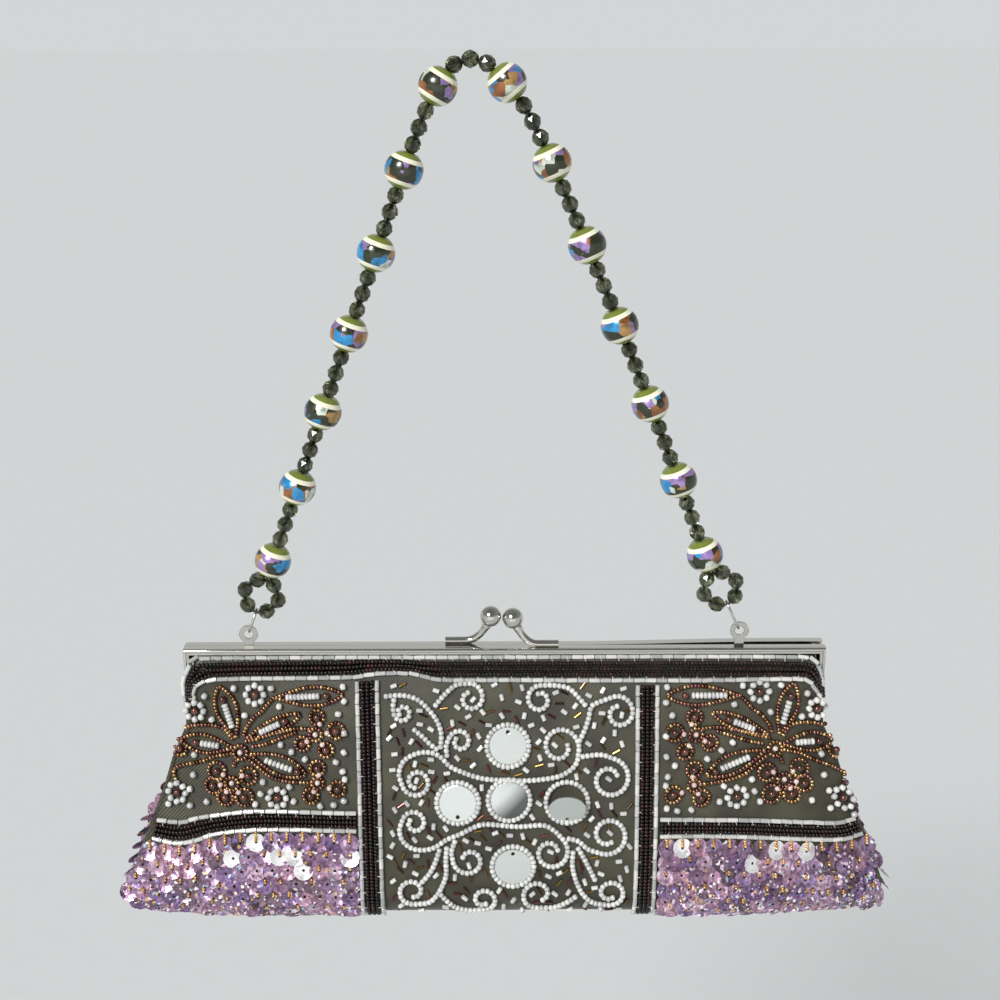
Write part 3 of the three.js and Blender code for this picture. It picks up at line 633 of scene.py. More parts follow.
def cloth(across, girth):
    """The cloth's outer face: a section's half depth falls off towards the side seams by the fifth power of
    the way from the middle, with a faint ripple, the product of two slanting sines. Past a seam the gusset
    turns inwards, first folding back in behind the legs and then dipping in a parabola."""
    drop, width, belly, edge, tuck, lap = np.moveaxis(smooth(girth, GIRTHS, CLOTH_ROWS), -1, 0)
    reach = np.abs(across)
    share = np.minimum(reach / width, 1)
    (steep, slow), (rise, flat) = RIPPLE["waves"]
    ripple = RIPPLE["height"] * np.sin(across / steep + girth / slow) * np.sin(girth / rise - across / flat)
    full = np.minimum(np.abs(belly) / RIPPLE["from"], 1)
    face = edge + (belly - edge + ripple * full) * (1 - share**FLATNESS)
    past = np.minimum(np.maximum(reach - width, 0), np.abs(edge))
    y = face - np.sign(edge) * past
    inside = np.divide(y, edge, out=np.ones_like(y), where=np.abs(edge) > 0.01)
    dip = np.where(reach > width, tuck * (1 - inside**2) + lap * eased(past / FOLD), 0)
    x = np.sign(across) * (np.minimum(reach, width) - dip)
    return np.stack((x, y + bow(x, drop) * (edge > 0), -drop), axis=-1)


def on_cloth(places, stand):
    """Points at a height above the cloth, with the way outwards and the way down the front along it."""
    across, girth = np.asarray(places, float).T
    step = 0.4
    down = cloth(across, girth + step) - cloth(across, girth - step)
    right = cloth(across + step, girth) - cloth(across - step, girth)
    outward = unit(np.cross(down, right))
    return cloth(across, girth) + outward * np.reshape(stand, (-1, 1)), outward, unit(down)


def girth_of(chart):
    """Charted places with the drop replaced by the girth on the front."""
    chart = np.array(chart, float)
    fine = np.linspace(GIRTHS[0], GIRTHS[len(SECTIONS) - 1], 600)
    drops = smooth(fine, GIRTHS, CLOTH_ROWS)[:, 0]
    chart[:, 1] = np.interp(chart[:, 1], drops, fine)
    return chart


def strung(places, stand):
    """Beads along a string laid on the cloth: centres, the way along the string and the way outwards."""
    centre, outward, _ = on_cloth(places, stand)
    along = np.gradient(centre, axis=0) if len(centre) > 1 else np.cross(outward, (0, 0, 1))
    return centre, along, outward


def strewn(rng, places, stand):
    """Loose beads on the cloth, each turned its own way."""
    centre, outward, down = on_cloth(places, stand)
    turn = rng.uniform(0, np.pi, (len(centre), 1))
    return centre, down * np.cos(turn) + np.cross(outward, down) * np.sin(turn), outward


def scatter(rng, field, count, apart, taken, clear):
    """Up to count places inside a rectangle, none nearer than apart to each other or than clear to what is
    taken already."""
    kept = np.empty((0, 2))
    for place in rng.uniform(*field, (count * STREWN_TRIES, 2)):
        free = np.all(np.hypot(*(taken - place).T) > clear) and np.all(np.hypot(*(kept - place).T) > apart)
        if free and len(kept) < count:
            kept = np.concatenate((kept, place[None]))
    return kept


def bead_piece(name, template, strings, finish, rng, crease=None):
    """One piece of like beads: the template at every place of the strings, each bead with its own tone."""
    centre, along, outward = (np.concatenate(parts) for parts in zip(*strings))
    along = unit(along) + rng.normal(0, BEAD_SLACK, along.shape)
    surface = copies(template, centre + BAG, along, outward)
    tone = np.repeat(rng.uniform(0, 1, len(centre)), len(template[0]))
    make_piece(name, surface, (finish,), crease=crease, tone=tone)


def seed_bead(width, length):
    """A rounded glass ring, closed over its bore by a dimple."""
    profile = np.array(
        ((0, -0.40), (0.45, -0.5), (0.86, -0.36), (1, 0), (0.86, 0.36), (0.45, 0.5), (0, 0.40)))
    return lathe(profile * (width / 2, length), 8)


def bugle_bead(width, length):
    """A cut glass tube with slightly broken edges, closed over its bore by a dimple."""
    profile = np.array(((0, -0.45), (0.6, -0.5), (1, -0.46), (1, 0.46), (0.6, 0.5), (0, 0.45)))
    return lathe(profile * (width / 2, length), 8)


def ball(radius, rows, sides):
    """A round bead or ball with a half circle for its profile."""
    profile = heading(np.linspace(-np.pi / 2, np.pi / 2, rows)) * radius
    profile[(0, -1), 0] = 0
    return lathe(profile, sides)


# Finishes


def put(owner, kind, inputs=None, stops=None, out=0, stepped=False, **settings):
    """Adds one node to a material or world, with its settings, its inputs, which are values or outputs to
    link, and a ramp's stops, and gives what it puts out."""
    tree = owner.node_tree
    made = tree.nodes.new("ShaderNode" + kind)
    for name, value in settings.items():
        setattr(made, name, value)
    for name, value in (inputs or {}).items():
        if isinstance(value, bpy.types.NodeSocket):
            tree.links.new(value, made.inputs[name])
        else:
            made.inputs[name].default_value = value
    if stops:
        elements = made.color_ramp.elements
        while len(elements) < len(stops):
            elements.new(1.0)
        for element, (place, code) in zip(elements, stops):
            element.position = place
            element.color = linear(code)
        made.color_ramp.interpolation = "CONSTANT" if stepped else "LINEAR"
    return made.outputs[out]


def noise(finish, place, grain, detail=2.0):
    """A soft noise with patches of about grain millimetres."""
    return put(finish, "TexNoise", {"Vector": place, "Scale": 1 / (grain * MM), "Detail": detail})


def mixed(finish, share, first, second, **settings):
    """Two colours mixed by a share."""
    return put(finish, "MixRGB", {"Fac": share, "Color1": first, "Color2": second}, **settings)


def ranged(finish, value, low, high, start=0.0, end=1.0):
    """A value between start and end, carried over to low and high."""
    return put(finish, "MapRange", {
        "Value": value, "From Min": start, "From Max": end, "To Min": low, "To Max": high})


def reckoned(finish, operation, first, second):
    """Two values put through one operation."""
    return put(finish, "Math", {0: first, 1: second}, operation=operation)


def relief(finish, height, strength, depth):
    """Surface tilted by a height, of a depth in millimetres."""
    return put(finish, "Bump", {"Height": height, "Strength": strength, "Distance": depth * MM})


def new_finish(name, shading):
    """A material with its shader's constant values set, and its own place."""
    finish = bpy.data.materials.new(name)
    finish.use_nodes = True
    for socket, value in shading.items():
        finish.node_tree.nodes["Principled BSDF"].inputs[socket].default_value = value
    return finish, put(finish, "TexCoord", out="Object")


def joined(finish, links):
    """The material with what its nodes put out led to its shader."""
    tree = finish.node_tree
    for socket, output in links.items():
        tree.links.new(output, tree.nodes["Principled BSDF"].inputs[socket])
    return finish


def satin_twill(colours, sizes):
    """Polyester satin, woven in a steep twill: slanting ribs with partly painted shade between them, a soft
    sheen, and broad patches of painted light and shade for its folds.
    """
    finish, place = new_finish("satin_twill", {
        "Roughness": 0.5, "Sheen Weight": 0.2, "Sheen Roughness": 0.4})
    # The ribs rise to the right, so the wave runs against the height. Its scale is the rib spacing as a
    # diagonal band counts it, on faces that lie along two of the axes
    mirrored = put(finish, "Mapping", {"Vector": place, "Scale": (1, 1, -1)})
    ribs = put(finish, "TexWave", {
        "Vector": mirrored, "Scale": 0.2 * np.pi / (np.sqrt(2) * sizes.twill), "Distortion": 0.7,
        "Detail": 1.0}, out="Fac", bands_direction="DIAGONAL")
    # Broad patches of painted light and shade for the cloth's folds, about 14 mm across
    painted_folds = ranged(finish, noise(finish, place, 14, 4.0), 0.0, 1.0, 0.34, 0.66)
    light = mixed(finish, painted_folds, colours.satin, linear("5a583f"))
    # Between the ribs the colour darkens to near black: partly the weave's lines and partly painted shade in
    # the grooves
    return joined(finish, {
        "Base Color": mixed(finish, ribs, linear("15130e"), light),
        "Normal": relief(finish, ribs, 0.4, 0.15)})


def plated_nickel(colours):
    """Nickel plate on stamped and polished steel: warm grey, faintly hazed by handling."""
    finish, place = new_finish("plated_nickel", {"Metallic": 1.0, "Base Color": colours.nickel})
    haze = noise(finish, place, 6, 5.0)
    return joined(finish, {
        "Roughness": ranged(finish, haze, 0.04, 0.2), "Normal": relief(finish, haze, 0.05, 0.1)})


def silvered_acrylic(colours, name, painted_reflection):
    """Silvered plastic sheet: a hazy mirror with a slow waviness. The middle disc has a painted dark
    reflection: its silver turns grey from its middle to its lower right, by the place along that slant, and
    the other discs take at most a faint share of it."""
    finish, place = new_finish(name, {"Metallic": 1.0})
    wave = noise(finish, place, 9)
    slant = put(finish, "VectorMath", {0: place, 1: (1, 0, -1)}, out="Value", operation="DOT_PRODUCT")
    across, drop, _, _ = MIRRORS["centre"]
    middle = BAG[0] + across - BAG[2] + drop
    # Painted reflection: the silver darkens to grey along the slant, for the dark that the disc would mirror
    start, end = (middle + np.array(MIRROR["painted_reflection"])) * MM
    reflection_share = ranged(finish, slant, 0.0, painted_reflection, start, end)
    return joined(finish, {
        "Base Color": mixed(finish, reflection_share, colours.silver, linear("4c4e4d")),
        "Roughness": ranged(finish, wave, 0.24, 0.34), "Normal": relief(finish, wave, 0.2, 0.6)})


def fire_polished_glass(name, dark, light):
    """Fire-polished smoky glass: olive-grey and clear, a little cloudy. Three shades of it stand for the
    facets that catch more or less of the room."""
    finish, place = new_finish(name, {"Roughness": 0.02, "Transmission Weight": 0.92, "IOR": 1.55})
    return joined(finish, {"Base Color": mixed(finish, noise(finish, place, 5), linear(dark), light)})


def shell_inlay(colours):
    """Dark olive polished resin with set-in chips of dyed shell: blue, lilac, copper, gold and pearl."""
    finish, place = new_finish("shell_inlay", {"Coat Weight": 0.6, "Coat Roughness": 0.03})
    # Chips about 4 mm across, a little squared, over half of the band
    chips = put(finish, "TexVoronoi", {"Vector": place, "Scale": 1 / (4.0 * MM)}, out="Color",
                distance="CHEBYCHEV")
    red, green, _ = put(finish, "SeparateColor", {"Color": chips}, out=slice(3))
    dyes = put(finish, "ValToRGB", {"Fac": red}, (
        (0.0, "2b93cf"), (0.16, "9c80b8"), (0.29, "9a6034"), (0.4, "b08a50"), (0.49, "d6decf"),
        (SHELL_SHARE, "1e2408")), stepped=True)
    cloud = ranged(finish, noise(finish, place, 2.5), 0.0, 0.6, 0.45, 0.75)
    shell = reckoned(finish, "LESS_THAN", red, SHELL_SHARE)
    return joined(finish, {
        "Base Color": mixed(finish, cloud, dyes, colours.resin),
        "Metallic": reckoned(finish, "MULTIPLY", shell, 0.35),
        "Roughness": ranged(finish, green, 0.15, 0.45)})


def polished_resin(name, colour, fleck):
    """Polished cast resin: an even colour with faint cloudy streaks under a clear gloss."""
    finish, place = new_finish(name, {"Roughness": 0.18, "Coat Weight": 0.6, "Coat Roughness": 0.04})
    return joined(finish, {
        "Base Color": mixed(finish, noise(finish, place, 3, 3.0), colour, linear(fleck))})


def bead_glass(name, stops, shading):
    """Glass of small beads: each bead takes its own shade between the stops from its tone."""
    finish, _ = new_finish(name, shading)
    tone = put(finish, "Attribute", out="Fac", attribute_name="tone")
    return joined(finish, {"Base Color": put(finish, "ValToRGB", {"Fac": tone}, stops)})


def hologram_film():
    """Embossed iridescent film, punched into sequins: each mauve, lilac, pink or violet, a few painted white
    for a flash of light, and broken up into flakes, some of them painted glints, more towards the base."""
    finish, place = new_finish("hologram_film", {
        "Metallic": 0.6, "Coat Weight": 0.5, "Coat Roughness": 0.06})
    tone = put(finish, "Attribute", out="Fac", attribute_name="tone")
    hue = put(finish, "ValToRGB", {"Fac": tone}, (
        (0.0, "a27c9c"), (0.16, "b592b4"), (0.34, "c698b2"), (0.48, "846a7c"), (0.6, "b092b6"),
        (0.72, "dcb8d0"), (0.84, "8e709e"), (FLASH_TONE, "f2f0f1")), stepped=True)
    # Embossed flakes of about 1 mm, each a little darker or lighter than its disc
    flakes = put(finish, "TexVoronoi", {"Vector": place, "Scale": 1 / (1.0 * MM)}, out="Color")
    red, green, blue = put(finish, "SeparateColor", {"Color": flakes}, out=slice(3))
    plain = reckoned(finish, "LESS_THAN", tone, FLASH_TONE)
    shade = put(finish, "ValToRGB", {"Fac": blue}, ((0.0, "9a9498"), (1.0, "ffffff")))
    mottled = mixed(finish, plain, hue, shade, blend_type="MULTIPLY")
    # Painted glints: the share of the flakes rises towards the base
    glint = put(finish, "ValToRGB", {"Fac": green}, (
        (0.0, "faf4fa"), (0.36, "9780cc"), (0.5, "ecc8de"), (0.74, "dcb878"), (0.86, "a8d0de"),
        (0.92, "6a4478")), stepped=True)
    height = put(finish, "SeparateXYZ", {"Vector": place}, out="Z")
    low, high = (BAG[2] - np.array(GLINT_DROPS)) * MM
    chosen = reckoned(finish, "GREATER_THAN", red, ranged(finish, height, 0.76, 0.92, low, high))
    share = reckoned(finish, "MULTIPLY", plain, chosen)
    return joined(finish, {
        "Base Color": mixed(finish, share, mottled, glint), "Roughness": ranged(finish, green, 0.14, 0.36)})


# Glass of the small beads: stops of the shade, and the shader's values
GLASS = {
    "pearl_glass": (
        ((0.0, "b2b3b2"), (0.4, "c6c6c3"), (1.0, "d8d7d2")), {"Roughness": 0.16, "Coat Weight": 0.5}),
    "bugle_glass": (
        ((0.0, "9a9b9b"), (0.5, "b9b9b6"), (1.0, "d2d1cc")), {"Roughness": 0.1, "Coat Weight": 0.5}),
    "wine_glass": (
        ((0.0, "060303"), (0.6, "120706"), (1.0, "2c100c")), {"Roughness": 0.14, "Specular IOR Level": 0.4}),
    "bronze_glass": (
        ((0.0, "54342a"), (0.2, "946a48"), (0.4, "ceb07c"), (0.55, "7a4a58"), (0.75, "ac8460"),
         (1.0, "5e3c40")), {"Roughness": 0.28, "Metallic": 0.92}),
    "dark_bronze_glass": (
        ((0.0, "38261c"), (0.35, "7a6230"), (0.65, "6a363c"), (1.0, "443024")),
        {"Roughness": 0.18, "Metallic": 0.8}),
    "brown_pearl": (
        ((0.0, "4a241c"), (1.0, "6e3f32")), {"Roughness": 0.14, "Metallic": 0.5, "Coat Weight": 0.8}),
    "blush_glass": (
        ((0.0, "c9aca4"), (1.0, "dcc8c2")), {"Roughness": 0.12, "Coat Weight": 0.6}),
    "amber_glass": (
        ((0.0, "a8772e"), (0.6, "cf9f55"), (1.0, "dfc08a")),
        {"Roughness": 0.12, "Metallic": 0.35, "Coat Weight": 0.5}),
    "cotton_thread": (
        ((0.0, "bcbab4"), (1.0, "d8d6d0")), {"Roughness": 0.7}),
}


def finish_named(name):
    """A finish, made the first time that a piece asks for it."""
    sizes = bpy.context.scene.clutch_sizes
    colours = bpy.context.scene.clutch_colours
    makers = {
        "satin_twill": (satin_twill, colours, sizes),
        "plated_nickel": (plated_nickel, colours),
        # Mirror silver with a faint and with a strong painted dark reflection
        "silvered_acrylic": (silvered_acrylic, colours, name, 0.03),
        "worn_silver": (silvered_acrylic, colours, name, 0.9),
        # Shades for the small beads' facets: plain, painted shade and painted light
        "fire_polished_glass": (fire_polished_glass, name, "50543a", colours.smoke),
        "fire_polished_dark": (fire_polished_glass, name, "26291a", linear("42462c")),
        "fire_polished_clear": (fire_polished_glass, name, "8f9376", linear("c0c4a8")),
        "shell_inlay": (shell_inlay, colours),
        "olive_resin": (polished_resin, name, colours.caps, "646f2a"),
        "ivory_resin": (polished_resin, name, colours.ivory, "e6e2c6"),
        "waxed_thread": (polished_resin, name, linear("3b3d2c"), "55573f"),
        # A near-black cord: painted shadow under the frame's lip
        "black_piping": (polished_resin, name, linear("0d0c0b"), "191716"),
        "hologram_film": (hologram_film,),
    }
    if name in bpy.data.materials:
        return bpy.data.materials[name]
    maker, *values = makers[name] if name in makers else (bead_glass, name, *GLASS[name])
    return maker(*values)


# Shapes of the metal and the strap


def sheet(table, stations):
    """Bent sheet metal with both ends closed: the section's rows of inset and y, outside and inside, set
    down at each station, whose row gives x and z as a start and as a share of the inset."""
    table = np.array(table)
    section = np.concatenate((table[:, :2], table[::-1, 2:]))
    inset, y = section.T
    x_start, x_share, z_start, z_share = np.array(stations, float).T[:, :, None]
    points = np.stack(np.broadcast_arrays(x_start + x_share * inset, y, z_start + z_share * inset), axis=-1)
    ends = []
    for ring in (points[0], points[-1]):
        outside, inside = ring.reshape(2, len(table), 3)
        ends.append(np.stack((outside, inside[::-1])))
    surface = merged([net(points[:, ::-1], round_columns=True), net(ends[0][:, ::-1]), net(ends[1])])
    return welded(surface)


def welded(surface):
    """The surface with its points at one place made one point."""
    points, quads, tris = surface
    _, first, order = np.unique(np.round(points, 4), axis=0, return_index=True, return_inverse=True)
    order = order.ravel()
    return points[first], order[quads], order[tris]


def channel(foot):
    """The frame's bent channel: its section carried up one leg, across the top and down the other, mitred at
    the corners, where a point at a distance in from the outer face turns that distance early."""
    half = FRAME["half_width"]
    top = [(share * half, -share, 0, -1) for share in np.linspace(-1, 1, FRAME["steps"])]
    return sheet(CHANNEL, [(-half, 1, -foot, 0), *top, (half, -1, -foot, 0)])


def inner_wall():
    """The channel's inner wall: a thin plate behind the cloth's edge."""
    return sheet(WALL, [(x, 0, 0, -1) for x in np.linspace(-FRAME["wall"], FRAME["wall"], FRAME["steps"])])


def slab(outline, low, high, edge):
    """A flat plate along Z from an outline round the origin, with its edges broken by edge."""
    shrunk = outline * (1 - edge / np.linalg.norm(outline, axis=1, keepdims=True))
    points = stacked(((outline * 0, low), (shrunk, low), (outline, low + edge), (outline, high - edge),
                      (shrunk, high), (outline * 0, high)))
    return net(points, round_columns=True, poles=(0, -1))


def turned_to(surface, x_axis, y_axis, z_axis, place):
    """A surface with its own axes laid along the given ones, moved to a place."""
    points, *faces = surface
    return points @ np.array((x_axis, y_axis, z_axis), float) + place, *faces


def ear(side, inner, top):
    """A leg's rounded end across X: a stadium from the hinge line up to top."""
    low = heading(np.linspace(-np.pi, 0, 17)) * HINGE["ear"]
    high = np.array(((HINGE["ear"], top), (-HINGE["ear"], top)))
    plate = slab(np.concatenate((low, high)), inner, inner + SHEET, EDGE)
    return turned_to(plate, (0, side, 0), (0, 0, 1), (side, 0, 0), np.array((0, 0, -HINGE["drop"])))


def strap_eye(x, z):
    """A stamped tab: a plate between its round hole and an outline that is a circle, or further out the
    straight neck below it."""
    ray = circle(1.0, 48)
    across = EYE["neck"] / 2 / np.maximum(np.abs(ray[:, :1]), 1e-6)
    below = (z + EYE["root"]) / np.maximum(-ray[:, 1:], 1e-6)
    neck = np.where(ray[:, 1:] < 0, np.minimum(across, below), 0)
    reach = np.maximum(EYE["head"], neck)
    hole, depth, edge = EYE["hole"], EYE["back"] - EYE["front"], EDGE
    rings = ((hole, edge), (hole + edge, 0), (reach - edge, 0), (reach, edge), (reach, depth - edge),
             (reach - edge, depth), (hole + edge, depth), (hole, depth - edge))
    points = stacked([(ray * radius, height) for radius, height in rings])
    tab = net(points, round_rows=True, round_columns=True)
    return turned_to(tab, (1, 0, 0), (0, 0, 1), (0, -1, 0), np.array((x, EYE["back"], z)))


def clasp(half):
    """The clasp of one half: a wire along a bent route that thickens into a collar, and its ball."""
    centre, top = CLASP_HALVES[half]
    route = even(curve((*CLASP_ROUTE, top)), 0.5, ends=True) + (centre, 0, 0)
    left = np.linalg.norm(route - route[-1], axis=1)
    swell = (CLASP["collar"] - CLASP["wire"]) * np.exp(-(((left - CLASP["ball"]) / CLASP["spread"]) ** 2))
    wire = tube(route, CLASP["wire"] + swell, 16, (0, 1, 0))
    return [wire, moved(ball(CLASP["ball"], 21, 32), route[-1])]


def strand_beads(side):
    """The beads of one side of the strap from the top down: size, centre and axis of each. The strand's
    angle from upright falls off from level by an exponential of the run along it."""
    sign, lean, ease, slackening, gap = STRANDS[side]
    sizes = ["small"] + (["large"] + ["small"] * LARGE["between"]) * LARGE["per_side"]
    beads = []
    foot = np.array((sign * SMALL["length"] / 2, 0, SMALL["radius"]))
    if sign < 0:
        beads.append(("small", np.array((0, 0, SMALL["radius"])), np.array((sign, 0, 0))))
    run = SMALL["length"] / 2
    for size in sizes[:-LARGE["between"]]:
        length = SMALL["length"] if size == "small" else LARGE["length"] + gap
        middle = run + length / 2
        angle = np.radians(lean + (90 - lean) * np.exp(-middle / ease) - slackening * middle)
        axis = np.array((sign * np.sin(angle), 0, -np.cos(angle)))
        beads.append((size, foot + axis * length / 2, axis))
        foot = foot + axis * length
        run += length
    return beads


def strand_end(side):
    """Where a strand ends: the eye, the way down to it and the middle of the bead loop."""
    x, z = EYES[side]
    eye = np.array((x, (EYE["front"] + EYE["back"]) / 2, z)) + BAG
    last = strand_beads(side)[-1][1]
    down = unit((eye - last) * (1, 0, 1))
    return eye, down, last + down * LOOP["below"]


def on_loop(side, angle, radius):
    """Points on the loop at a strand's end, and the way round it, at angles counted from its foot."""
    _, down, middle = strand_end(side)
    aside = np.cross((0, 1, 0), down)
    angle = np.reshape(angle, (-1, 1))
    ray = down * np.cos(angle) + aside * np.sin(angle)
    return middle + ray * np.reshape(radius, (-1, 1)), aside * np.cos(angle) - down * np.sin(angle)


def large_profile():
    """Half sections of a large bead: a ball cut short at both ends, where a sunk mouth leads to the bore."""
    height = np.concatenate((
        np.linspace(0, BAND_END, 6), np.linspace(BAND_END, RING_END, 5)[1:],
        np.linspace(RING_END, LARGE["half"], 5)[1:]))
    ball = np.stack((np.sqrt(LARGE["radius"] ** 2 - height**2), height), axis=1)
    upper = np.concatenate((ball, BORE_MOUTH))
    return np.concatenate((upper[:0:-1] * (1, -1), upper))


# Charts of the beadwork


def scroll_lines():
    """The scrolls of the middle panel: each stem's curve, carried on in a spiral where it curls."""
    lines = []
    for points, start, end in SCROLLS:
        line = curve(points)
        if start:
            line = curled(line[::-1], *start)[::-1]
        if end:
            line = curled(line, *end)
        lines.append(girth_of(line))
    return lines


def petal_sides(base, tip, width):
    """The two sides of a petal: from base to tip, bowed out by a sine that peaks past the middle."""
    base, tip = np.array(base, float), np.array(tip, float)
    t = np.linspace(0, 1, 60)[:, None]
    aside = unit((tip - base)[::-1] * (-1, 1))
    out = width / 2 * np.sin(np.pi * t**1.25) ** 0.8
    middle = base + (tip - base) * t
    return middle + aside * out, middle - aside * out


def flower_lines():
    """The beadwork of one flower about its heart: bronze lines, white rows, pearls and ring flowers."""
    around = circle(1.0, 41)[np.arange(42) % 41]
    bronze = [curve(stem) for stem in STEMS] + [around * HEART_RING]
    bronze += [around * radius + (across, drop) for across, drop, radius in (*LOOPS, *FLORET_RINGS)]
    white, pearls = [], [row[:2] for row in LOOPS] + list(RING_FLOWERS)
    for base, tip, width, (start, end) in PETALS:
        bronze.extend(petal_sides(base, tip, width))
        base, tip = np.array(base), np.array(tip)
        white.append(np.linspace(base + (tip - base) * start, base + (tip - base) * end, 12))
        pearls.append(base + (tip - base) * (end + 0.09))
    ring = circle(RING_FLOWER["radius"], RING_FLOWER["petals"])
    return bronze, white, pearls, [ring + heart for heart in RING_FLOWERS]


def flower_on(side, places):
    """Places about a flower's heart, put on its panel: mirrored, stretched, flared and sagged as it
    is."""
    x, drop, facing, *ways = FLOWER_HEARTS[side]
    across, down = np.array(places, float).T
    scale, sag, flare = np.array(ways)[:, (across < 0).astype(int)]
    across = across * facing * (scale + flare * down)
    down = down + sag * across**2 * (1 + down / SAG_DROP)
    return girth_of(np.stack((x + across, drop + down), axis=1))


def in_mm(sizes):
    """The sizes by name, in millimetres."""
    return {name: getattr(sizes, name) / MM for name in sizes.__annotations__}


class CLUTCH_OT_stage(bpy.types.Operator):
    """Sets the floor, the room, the sun and the camera"""

    bl_idname = "clutch.stage"
    bl_label = "Stage"

    def execute(self, context):
        scene = context.scene
        scene.view_settings.view_transform = "Standard"
        self.lay_floor(scene)
        self.light_room(scene)

        sun = bpy.data.lights.new("sun", "SUN")
        sun.energy = SUN["strength"]
        sun.angle = np.radians(SUN["spread"])
        back = unit(np.array(SUN["from"]))
        right = unit(np.cross((0, 0, 1), back))
        turn = np.eye(4)
        turn[:3, :3] = np.stack((right, np.cross(back, right), back), axis=1)
        self.set_up(scene, sun, Matrix(turn.tolist()))

        card = bpy.data.lights.new("low_box", "AREA")
        card.shape = "RECTANGLE"
        card.size, card.size_y = LOW_BOX["size"]
        card.energy = LOW_BOX["power"]
        forward = Matrix.Rotation(np.pi / 2, 4, "X")
        box = self.set_up(scene, card, Matrix.Translation(LOW_BOX["place"]) @ forward)
        box.visible_diffuse = False

        camera = bpy.data.cameras.new("camera")
        camera.lens = CAMERA["lens"]
        camera.sensor_width = CAMERA["sensor"]
        camera.clip_end = CAMERA["reach"]
        tip = Matrix.Rotation(np.radians(90 - CAMERA["down"]), 4, "X")
        roll = Matrix.Rotation(np.radians(CAMERA["roll"]), 4, "Z")
        scene.camera = self.set_up(scene, camera, Matrix.Translation(CAMERA["place"]) @ (tip @ roll))
        return {"FINISHED"}

    def set_up(self, scene, data, matrix):
        """A lamp or the camera as an object in its place."""
        made = bpy.data.objects.new(data.name, data)
        scene.collection.objects.link(made)
        made.matrix_world = matrix
        return made

    def lay_floor(self, scene):
        """A wide plain sheet of matt paper."""
        finish, place = new_finish("matt_paper", {"Roughness": 0.8})
        grain = noise(finish, place, 25)
        joined(finish, {"Base Color": mixed(finish, grain, scene.clutch_colours.floor, linear("d6d8d8"))})
        reach, level = FLOOR["reach"], FLOOR["level"]
        corners = [(reach * x, reach * y, level) for x, y in ((-1, -1), (1, -1), (1, 1), (-1, 1))]
        mesh = bpy.data.meshes.new("studio_floor")
        mesh.from_pydata(corners, [], [(0, 1, 2, 3)])
        mesh.materials.append(finish)
        floor = self.set_up(scene, mesh, Matrix())

    def light_room(self, scene):
        """An even pale room with patches: the paler lower half and end behind the object, and for the
        metal to mirror, the dimmer ceiling, a window and the dark round the camera. A patch's share falls
        with the angle from its middle."""
        world = bpy.data.worlds.new("studio")
        world.use_nodes = True
        way = put(world, "TexCoord", out="Generated")
        colour = linear(ROOM)
        for aside, height, full, fading, code, bright in PATCHES:
            aside, height, full, fading = np.radians((aside, height, full, fading))
            middle = (np.sin(aside) * np.cos(height), -np.cos(aside) * np.cos(height), np.sin(height))
            near = put(world, "VectorMath", {0: way, 1: middle}, out="Value", operation="DOT_PRODUCT")
            share = put(world, "MapRange", {
                "Value": near, "From Min": np.cos(fading), "From Max": np.cos(full)},
                interpolation_type="SMOOTHSTEP")
            colour = mixed(world, share, colour, (np.array(linear(code)) * bright).tolist())
        world.node_tree.links.new(colour, world.node_tree.nodes["Background"].inputs["Color"])
        scene.world = world


class CLUTCH_OT_pouch(bpy.types.Operator):
    """Sews the pouch: one sheet of satin down the front, under the base and up the back, and along its mouth
    a dark cord that is a painted shadow under the frame's lip
    """

    bl_idname = "clutch.pouch"
    bl_label = "Pouch"

    def execute(self, context):
        rows, face, side = 161, 72, 12
        girth = np.linspace(GIRTHS[0], GIRTHS[-1], rows)
        table = smooth(girth, GIRTHS, CLOTH_ROWS)
        width, edge = table[:, 1:2], np.abs(table[:, 3:4])
        flat = np.sin(np.linspace(-np.pi / 2, np.pi / 2, face + 1)) * width
        # Steps past the seam grow, so the fold behind the legs is fine
        past = np.linspace(0, 1, side + 1)[1:] ** 1.8 * edge
        across = np.concatenate((-(width + past)[:, ::-1], flat, width + past), axis=1)
        points = cloth(across, np.broadcast_to(girth[:, None], across.shape)) + BAG
        ids = np.arange(across.size).reshape(across.shape)
        back = np.arange(rows // 2 + 1, rows)
        for column in (0, -1):
            ids[back, column] = ids[rows - 1 - back, column]
        piece = make_piece(
            "pouch_satin", net(points[:, ::-1], ids=ids), ("satin_twill",), ("pouch",))
        wall = piece.modifiers.new("Wall", "SOLIDIFY")
        wall.thickness = CLOTH * MM
        wall.offset = -1
        # A dark cord along the mouth, as painted shadow under the frame's lip
        line, _, _ = on_cloth(even(girth_of(SHADOW_CORD), 0.8, ends=True), SHADOW_CORD_STAND)
        shadow_cord = tube(line + BAG, SHADOW_CORD_RADIUS, 8, (0, 1, 0))
        make_piece("mouth_shadow_cord", shadow_cord, ("black_piping",))
        return {"FINISHED"}


